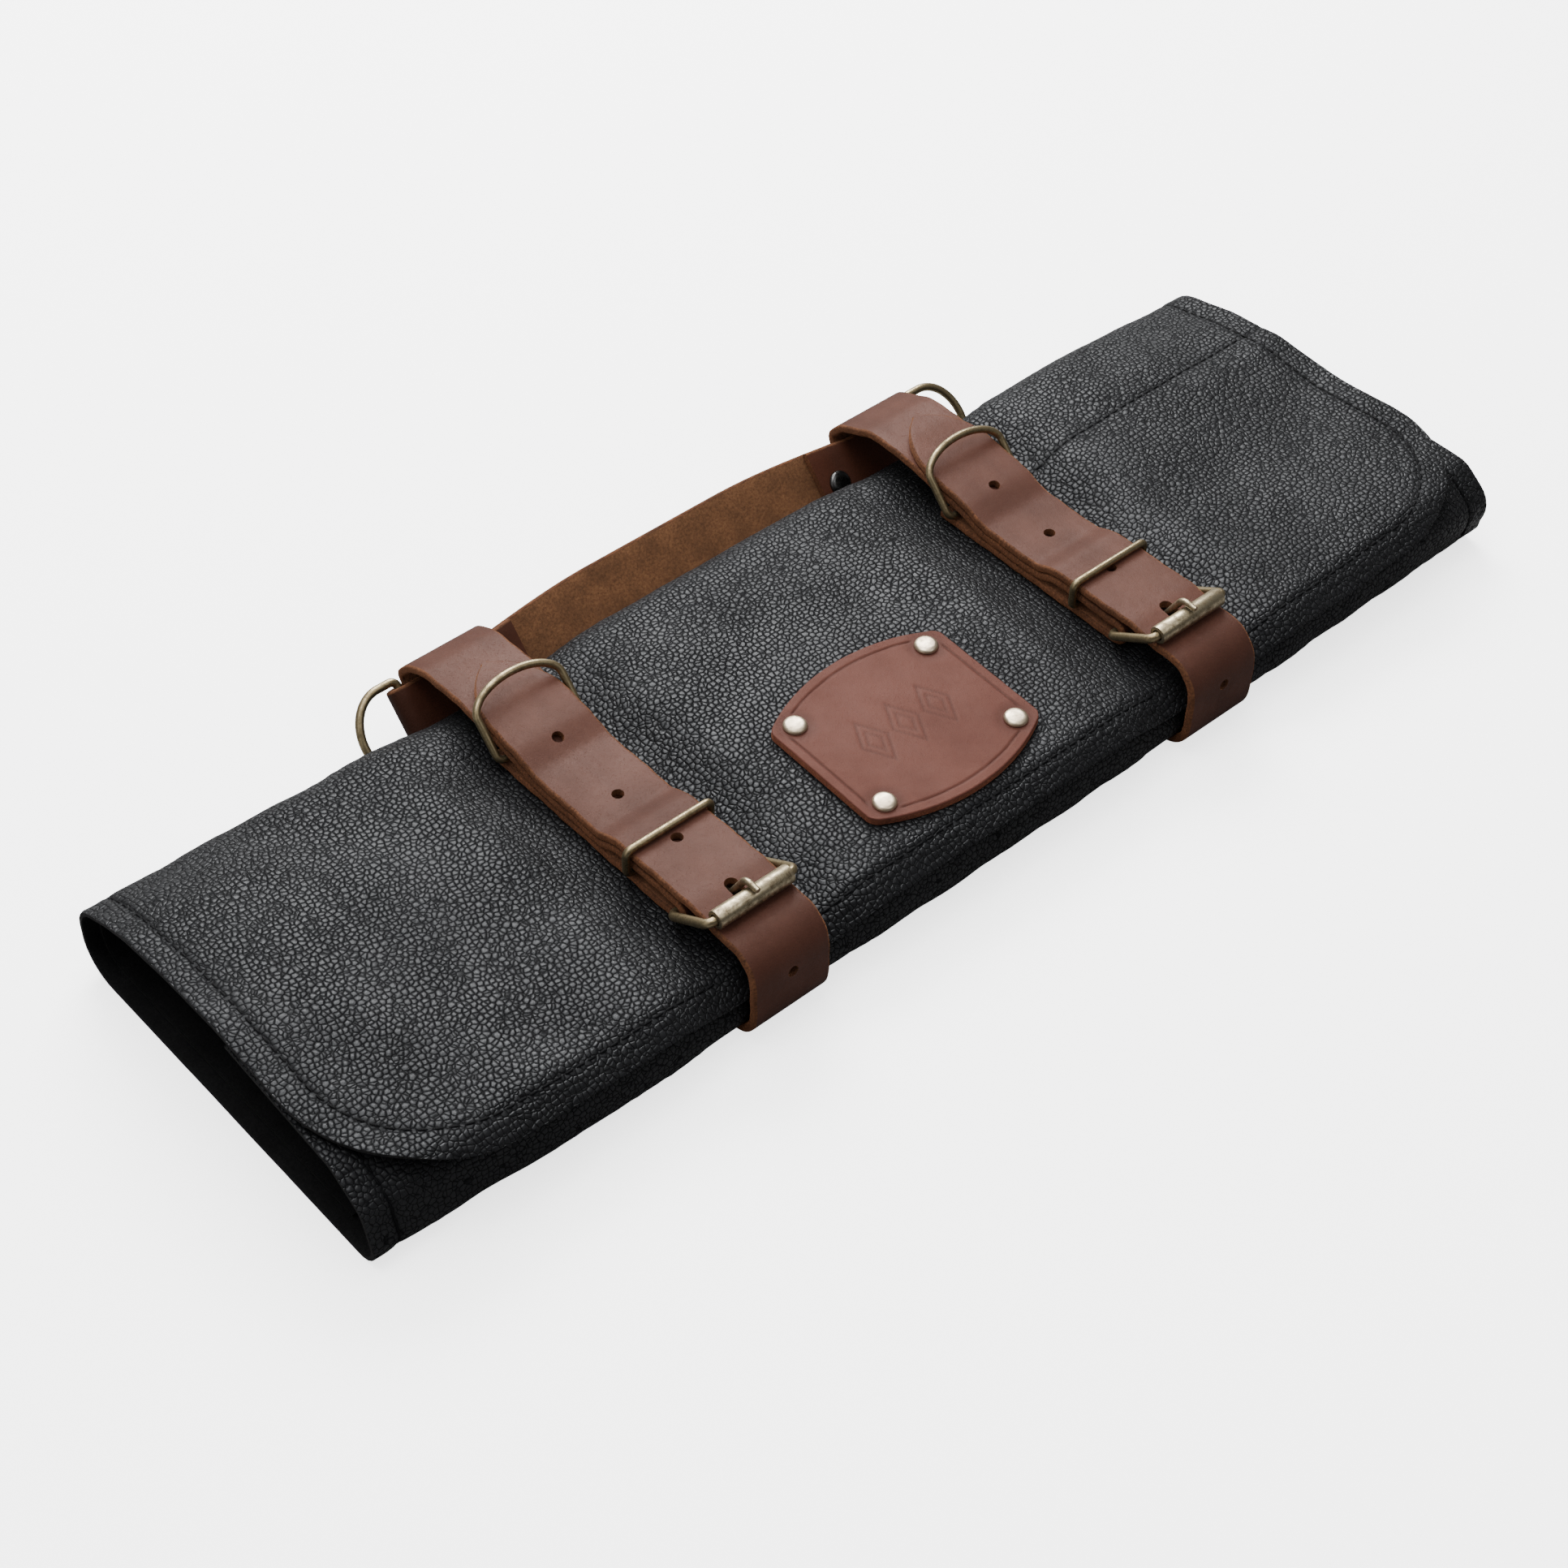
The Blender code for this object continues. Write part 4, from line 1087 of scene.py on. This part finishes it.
def make_metal(side):
    """A belt's D-ring, keeper, buckle, roller, prong and fold rivets."""
    x = BELT_X[side]
    ring_z = RETURN_LAYER_Z + STRAP / 2 + GAP + RING_WIRE / 2
    lean = radians(47.0)
    bow = [
        (x + u, D_RING_Y[side] + v * cos(lean), ring_z + v * sin(lean))
        for u, v in d_ring_points(*D_RING)
    ]
    ring = wire(f"ring_on_belt_{side}", bow, RING_WIRE, brass)
    fitted(ring, f"belt_d_ring_{side}", f"belt_ring_{side}")

    top = HEEL_Z + FOLD_RADIUS + LAYER_PITCH + STRAP / 2 + GAP + RING_WIRE / 2 + 0.3
    middle = (top + ring_z) / 2
    corners = box_loop(KEEPER_HALF_WIDTH, (top - ring_z) / 2, 2.2)
    loop = [(x + u, KEEPER_Y[side], middle + v) for u, v in corners]
    keeper = wire(f"keeper_loop_{side}", loop, RING_WIRE, brass)
    fitted(keeper, f"belt_keeper_{side}", f"keeper_{side}")

    run = Vector((FRONT_BAR_Y - HEEL_Y, FRONT_BAR_Z - HEEL_Z))
    outline = []
    for u, v in box_loop(FRAME_HALF_WIDTH, run.length / 2, 2.6):
        t = v / run.length + 0.5
        outline.append((x + u, HEEL_Y + run.x * t, HEEL_Z + run.y * t))
    frame_wire = wire(f"buckle_{side}", outline, HEEL_WIRE, brass)
    fitted(frame_wire, f"buckle_frame_{side}", "roll")

    half = ROLLER_LENGTH / 2
    radius = ROLLER_DIAMETER / 2
    bore = ROLLER_BORE / 2
    lip = [(radius, half - 0.45), (radius - 0.15, half - 0.12), (radius - 0.5, half), (bore, half)]
    tube = [(r, -height) for r, height in reversed(lip)] + lip
    front_bar = (x, FRONT_BAR_Y, FRONT_BAR_Z)
    roller = turned(f"roller_on_bar_{side}", tube, front_bar, (1, 0, 0), roller_brass, 48)
    seam = cylinder(front_bar, (1, 0, 0), 0.22, -half - 1, half + 1, 8)
    # The roller is bent from sheet, whose seam faces down and forward.
    lowered = [Vector(p) + Vector((0, -2.4, -2.3)) for p in seam[0]]
    cut(roller, [(lowered, seam[1])], roller_brass)
    fitted(roller, f"buckle_roller_{side}", f"roller_{side}")

    eye = []
    for k in range(25):
        angle = radians(-160 + 250 * k / 24)
        y = HEEL_Y + PRONG_EYE_RADIUS * cos(angle)
        eye.append((y, HEEL_Z + PRONG_EYE_RADIUS * sin(angle)))
    rest = FRONT_BAR_Z + radius + GAP + PRONG_WIRE / 2 + 0.1
    level = HEEL_Z + PRONG_EYE_RADIUS
    corners = [
        (HEEL_Y - 2.0, level, 0.0),
        (-51.0, level, 3.4),
        (-58.0, rest, 3.4),
        (-63.6, rest - 0.2, 0.0),
    ]
    path = [(x, *point) for point in eye + rounded(corners, 8)]
    count = len(path)
    radii = [1.0 - 0.16 * max(0.0, (k - 26) / (count - 27)) for k in range(count)]
    radii[-1] *= 0.8
    prong = wire(f"prong_pin_{side}", path, PRONG_WIRE, roller_brass, closed=False, radii=radii)
    fitted(prong, f"buckle_prong_{side}", f"prong_{side}")

    low = RETURN_LAYER_Z - STRAP / 2 + FOLD_RIVET_SUNK
    high = RETURN_LAYER_Z + STRAP * 1.5 + GAP - FOLD_RIVET_SUNK
    profile = domed(low, high, 1.7, (3.8, 0.7), (3.8, 0.7))
    for place, y in zip(("front", "rear"), fold_rivet_ys(side)):
        rivet = turned(f"fold_post_{place}_{side}", profile, (x, y, 0.0), (0, 0, 1), brass, 24)
        fitted(rivet, f"fold_rivet_{place}_{side}", "roll")


def domed(low, high, radius, low_head, high_head):
    """Profile of a post with a shallow domed cap (radius, thickness) at each end."""

    def cap(end, wide, thick):
        angles = [pi / 2 * k / 6 for k in range(7)]
        arc = [(wide * (0.55 + 0.45 * cos(a)), end + thick * sin(a)) for a in angles]
        return arc + [(0.0, end + thick)]

    lower = cap(low, low_head[0], -low_head[1])
    return lower[::-1] + [(radius, low), (radius, high)] + cap(high, *high_head)


# The handle ----------------------------------------------------------------------------

UP = Vector((0.0, sin(BACK_RUN_LEAN), cos(BACK_RUN_LEAN)))
OUTWARD = Vector((0.0, cos(BACK_RUN_LEAN), -sin(BACK_RUN_LEAN)))
HANDLE_MIDDLE = Vector((0.0, *back_run(HANDLE_ALONG_RUN)))


def handle_line():
    """The handle's middle line along X and outwards, from one folded-in flap to the other."""
    layer = HANDLE_LAYER
    pinched = STRAP / 2 + GAP / 2
    near = 14.1  # just inside the belt's edge
    grip = HANDLE_RIVET_FROM_BELT - 1.0

    def half(side, inward):
        belt = BELT_X[side]
        ring = belt - inward * (HANDLE_RING_FROM_BELT[side] + layer)
        return [
            (belt + inward * HANDLE_FLAP_FROM_BELT, -pinched, 0.0),
            (belt + inward * grip, -pinched, 5.0),
            (belt + inward * near, -layer, 5.0),
            (ring, -layer, layer - 0.01),
            (ring, layer, layer - 0.01),
            (belt + inward * near, layer, 5.0),
            (belt + inward * grip, pinched, 5.0),
            (belt + inward * (HANDLE_FLAP_FROM_BELT + 6.0), pinched, 60.0),
            (belt + inward * 62.0, HANDLE_BOW, 90.0),
        ]

    return rounded(half("left", 1) + half("right", -1)[::-1], 8)


def make_handle():
    """The handle's strap, its two rivets and its two rings."""
    line = handle_line()
    total = length_of(line)
    distances = np.arange(0, total, 1.5)
    distances = np.append(distances, total)
    found, tangent = resampled(line, distances)
    rows = []
    # The bend of each row sets the painted shade on the handle's curves.
    for point, run, bend in zip(found, tangent, spread_bends(tangent, 5)):
        x, out = point
        from_belt = min(x - BELT_X["left"], BELT_X["right"] - x)
        rise = HANDLE_RISE * sin(pi / 2 * min(1.0, max(0.0, (from_belt - 10) / 56)))
        centre = HANDLE_MIDDLE + Vector((x, 0, 0)) + OUTWARD * out + UP * rise
        facing = Vector((1, 0, 0)) * -run[1] + OUTWARD * run[0]
        rows.append((centre, UP, facing, HANDLE_WIDTH / 2, min(1.0, bend * 0.7)))
    handle = strap("carrying_handle", rows, [handle_brown_and_shade, belt_edge, handle_back])
    high = STRAP + GAP / 2 + GAP
    profile = domed(-high, high, 2.0, (4.3, 1.3), (4.3, 1.3))
    seats = []
    for side, inward in (("left", 1), ("right", -1)):
        rivet = HANDLE_MIDDLE + Vector((BELT_X[side] + inward * HANDLE_RIVET_FROM_BELT, 0, 0))
        seats.append(cylinder(rivet, OUTWARD, 2.4, -high - 3, high + 3))
        post = turned(f"handle_post_{side}", profile, rivet, OUTWARD, dark_metal, 40)
        fitted(post, f"handle_rivet_{side}", "handle")
        bar = HANDLE_MIDDLE + Vector((BELT_X[side] - inward * HANDLE_RING_FROM_BELT[side], 0, 0))
        shape = d_ring_points(*HANDLE_RING)
        bow = [bar + UP * u + Vector((-inward * v, 0, 0)) for u, v in shape]
        ring = wire(f"ring_on_handle_{side}", bow, WIRE, brass)
        fitted(ring, f"handle_d_ring_{side}", f"handle_ring_{side}")
    cut(handle, seats, belt_edge)
    fitted(handle, "handle_strap", "handle")


# The patch -----------------------------------------------------------------------------

PATCH_SLOPE = atan2(
    MIDDLE_LEVELS[3] - MIDDLE_LEVELS[5], LEVEL_LINES_Y[3] - LEVEL_LINES_Y[5]
)
PATCH_NORMAL = Vector((0.0, -sin(PATCH_SLOPE), cos(PATCH_SLOPE)))


def patch_point(x, y, height):
    """The point over this place of the patch, measured from its middle."""
    level = MIDDLE_LEVELS[3] + tan(PATCH_SLOPE) * (PATCH_CENTRE[1] + y)
    return Vector((PATCH_CENTRE[0] + x, PATCH_CENTRE[1] + y, level)) + PATCH_NORMAL * height


def patch_half_height(x):
    """Half the patch's height here: two shallow arcs, with small rounded corners."""
    sagitta = PATCH_HALF_HEIGHT - PATCH_SIDE_HALF_HEIGHT
    radius = (PATCH_HALF_WIDTH**2 + sagitta**2) / (2 * sagitta)
    arc = PATCH_HALF_HEIGHT - radius + sqrt(radius**2 - x**2)
    past = abs(x) - (PATCH_HALF_WIDTH - PATCH_CORNER)
    if past > 0:
        arc -= PATCH_CORNER - sqrt(max(0.0, PATCH_CORNER**2 - past**2))
    return arc


def pressed(x, y):
    """Depth of the plain pressed lines: a border and a row of three lozenges."""
    half = patch_half_height(max(-35.9, min(35.9, x)))
    from_edge = min(PATCH_HALF_WIDTH - abs(x), (half - abs(y)) * 0.96)
    depth = 0.34 * exp(-(((from_edge - 3.6) / 0.42) ** 2))
    for centre in (-13.0, 0.0, 13.0):
        reach = abs(x - centre) / 5.2 + abs(y) / 9.5
        depth += 0.30 * exp(-(((reach - 1.0) / 0.085) ** 2))
        depth += 0.24 * exp(-(((reach - 0.5) / 0.10) ** 2))
    rivet = hypot(abs(x) - PATCH_RIVET_OFFSET[0], abs(y) - PATCH_RIVET_OFFSET[1])
    return depth * blend(4.6, 6.0, rivet) + 0.25 * blend(8.5, 4.0, rivet)


def make_patch():
    """The patch, with its pressed lines, and its four rivets."""
    across = 150
    along = 130
    inset = 0.6
    upper = []
    lower = []
    marks = []

    def crowded(t):
        return sin(t * pi / 2 * 0.92) / sin(pi / 2 * 0.92)

    for i in range(across + 1):
        x = (PATCH_HALF_WIDTH - 0.02) * crowded(-1 + 2 * i / across)
        half = max(0.6, patch_half_height(x))
        for j in range(along + 1):
            y = half * crowded(-1 + 2 * j / along)
            from_edge = min(PATCH_HALF_WIDTH - abs(x), half - abs(y))
            soft = sqrt(max(0.0, 1 - (1 - min(1.0, from_edge / inset)) ** 2))
            depth = pressed(x, y)
            height = GAP + PATCH - inset * (1 - soft) - depth
            height += 0.05 * sin(x * 0.5 + y * 0.21) * sin(y * 0.37 + 1)
            upper.append(patch_point(x, y, height))
            lower.append(patch_point(x, y, GAP))
            marks.append(min(1.0, depth * 2.6))
    faces, kinds = slab_faces(across + 1, along + 1)
    looks = [patch_brown, patch_edge]
    picks = [min(1, kind) for kind in kinds]
    patch = mesh_object("front_patch", upper + lower, faces, looks, picks, 55)
    mark(patch, "bend", marks + [0.0] * len(marks))
    u, v = PATCH_RIVET_OFFSET
    seats = [patch_point(x, y, 0.0) for x in (-u, u) for y in (-v, v)]
    holes = [cylinder(seat, PATCH_NORMAL, 2.1, -0.5, PATCH + 1.5) for seat in seats]
    cut(patch, holes, patch_edge)
    fitted(patch, "label_patch", "roll")
    profile = domed(-LEATHER - GAP, PATCH + GAP, 1.7, (3.2, 0.7), (4.0, 1.3))
    for number, seat in enumerate(seats, 1):
        name = f"patch_cap_{number}"
        rivet = turned(name, profile, seat, PATCH_NORMAL, pale_metal, 48)
        fitted(rivet, f"patch_rivet_{number}", "roll")


# Floor, light and camera, in metres ----------------------------------------------------

def area_light(name, place, size, energy):
    """A rectangular white light aimed at the roll's middle."""
    light = bpy.data.lights.new(name, "AREA")
    light.shape = "RECTANGLE"
    light.size, light.size_y = size
    light.energy = energy
    made = bpy.data.objects.new(name, light)
    bpy.context.scene.collection.objects.link(made)
    made.location = place
    aim = Vector((0, 0, 0.02)) - made.location
    made.rotation_euler = aim.to_track_quat("-Z", "Y").to_euler()
    made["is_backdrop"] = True


def make_stage():
    """Floor, lights and world. The floor and the world are white to the camera only."""
    bpy.ops.mesh.primitive_plane_add(size=60)
    floor = bpy.context.object
    floor.name = "floor"
    n = Nodes(bpy.data.materials.new("pale_floor"))
    seen = n.add("LightPath").outputs["Is Camera Ray"]
    n.out(
        Base_Color=n.mix(seen, (0.16, 0.16, 0.16, 1), (0.95, 0.95, 0.95, 1)),
        Roughness=0.8,
        Specular_IOR_Level=0.1,
        Emission_Color=(1, 1, 1, 1),
        Emission_Strength=n.times(seen, 2.2),
    )
    floor.data.materials.append(n.owner)
    floor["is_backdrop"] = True
    area_light("back_softbox", (0.45, 0.80, 0.85), (0.9, 0.5), 30.0)
    area_light("top_softbox", (-0.15, 0.25, 1.6), (1.3, 1.0), 30.0)
    area_light("left_fill", (-1.2, -0.1, 0.8), (0.9, 0.9), 2.0)
    area_light("front_fill", (0.3, -0.9, 1.3), (0.9, 0.6), 4.0)
    world = bpy.data.worlds.new("studio")
    bpy.context.scene.world = world
    n = Nodes(world, "Generated")
    # Brighter behind the roll than in front of it, and weak in reflections.
    way = n.add("SeparateXYZ", {0: n.place}).outputs["Y"]
    rays = n.add("LightPath")
    fade = n.span(way, -1.0, 1.0, 0.35, 1.9)
    weak = n.span(rays.outputs["Is Glossy Ray"], 0.0, 1.0, 1.0, 0.14)
    both = n.times(fade, weak)
    to_camera = {0: rays.outputs["Is Camera Ray"], 2: both, 3: 3.2}
    background = n.tree.nodes["Background"]
    n.set(background.inputs[0], (1, 1, 1, 1))
    n.set(background.inputs[1], n.add("Mix", to_camera).outputs[0])


def make_camera():
    """The camera fitted to the photograph."""
    azimuth, elevation, tilt = radians(-42.57), radians(46.12), radians(1.53)
    target = Vector((-0.0269, -0.00465, 0))
    distance = 0.9405
    back = Vector(
        (
            sin(azimuth) * cos(elevation),
            -cos(azimuth) * cos(elevation),
            sin(elevation),
        )
    )
    camera = bpy.data.cameras.new("camera")
    camera.lens = 67.34
    camera.sensor_width = 36
    made = bpy.data.objects.new("camera", camera)
    bpy.context.scene.collection.objects.link(made)
    made.location = target + back * distance
    made.rotation_mode = "QUATERNION"
    turn = Matrix.Rotation(tilt, 4, "Z").to_quaternion()
    made.rotation_quaternion = (-back).to_track_quat("-Z", "Y") @ turn
    bpy.context.scene.camera = made


roll = make_roll()
make_stitches(roll)
for side in BELT_X:
    make_strap(side)
    make_metal(side)
make_handle()
make_patch()
# The pocket panels inside the roll take the near-black flesh side, partly painted shade.
for node in ("pocket_panel_left", "pocket_panel_right"):
    nodes[node].data.materials.clear()
    nodes[node].data.materials.append(flesh_side_and_shade)
make_stage()
make_camera()
note_size("shown", sizes)
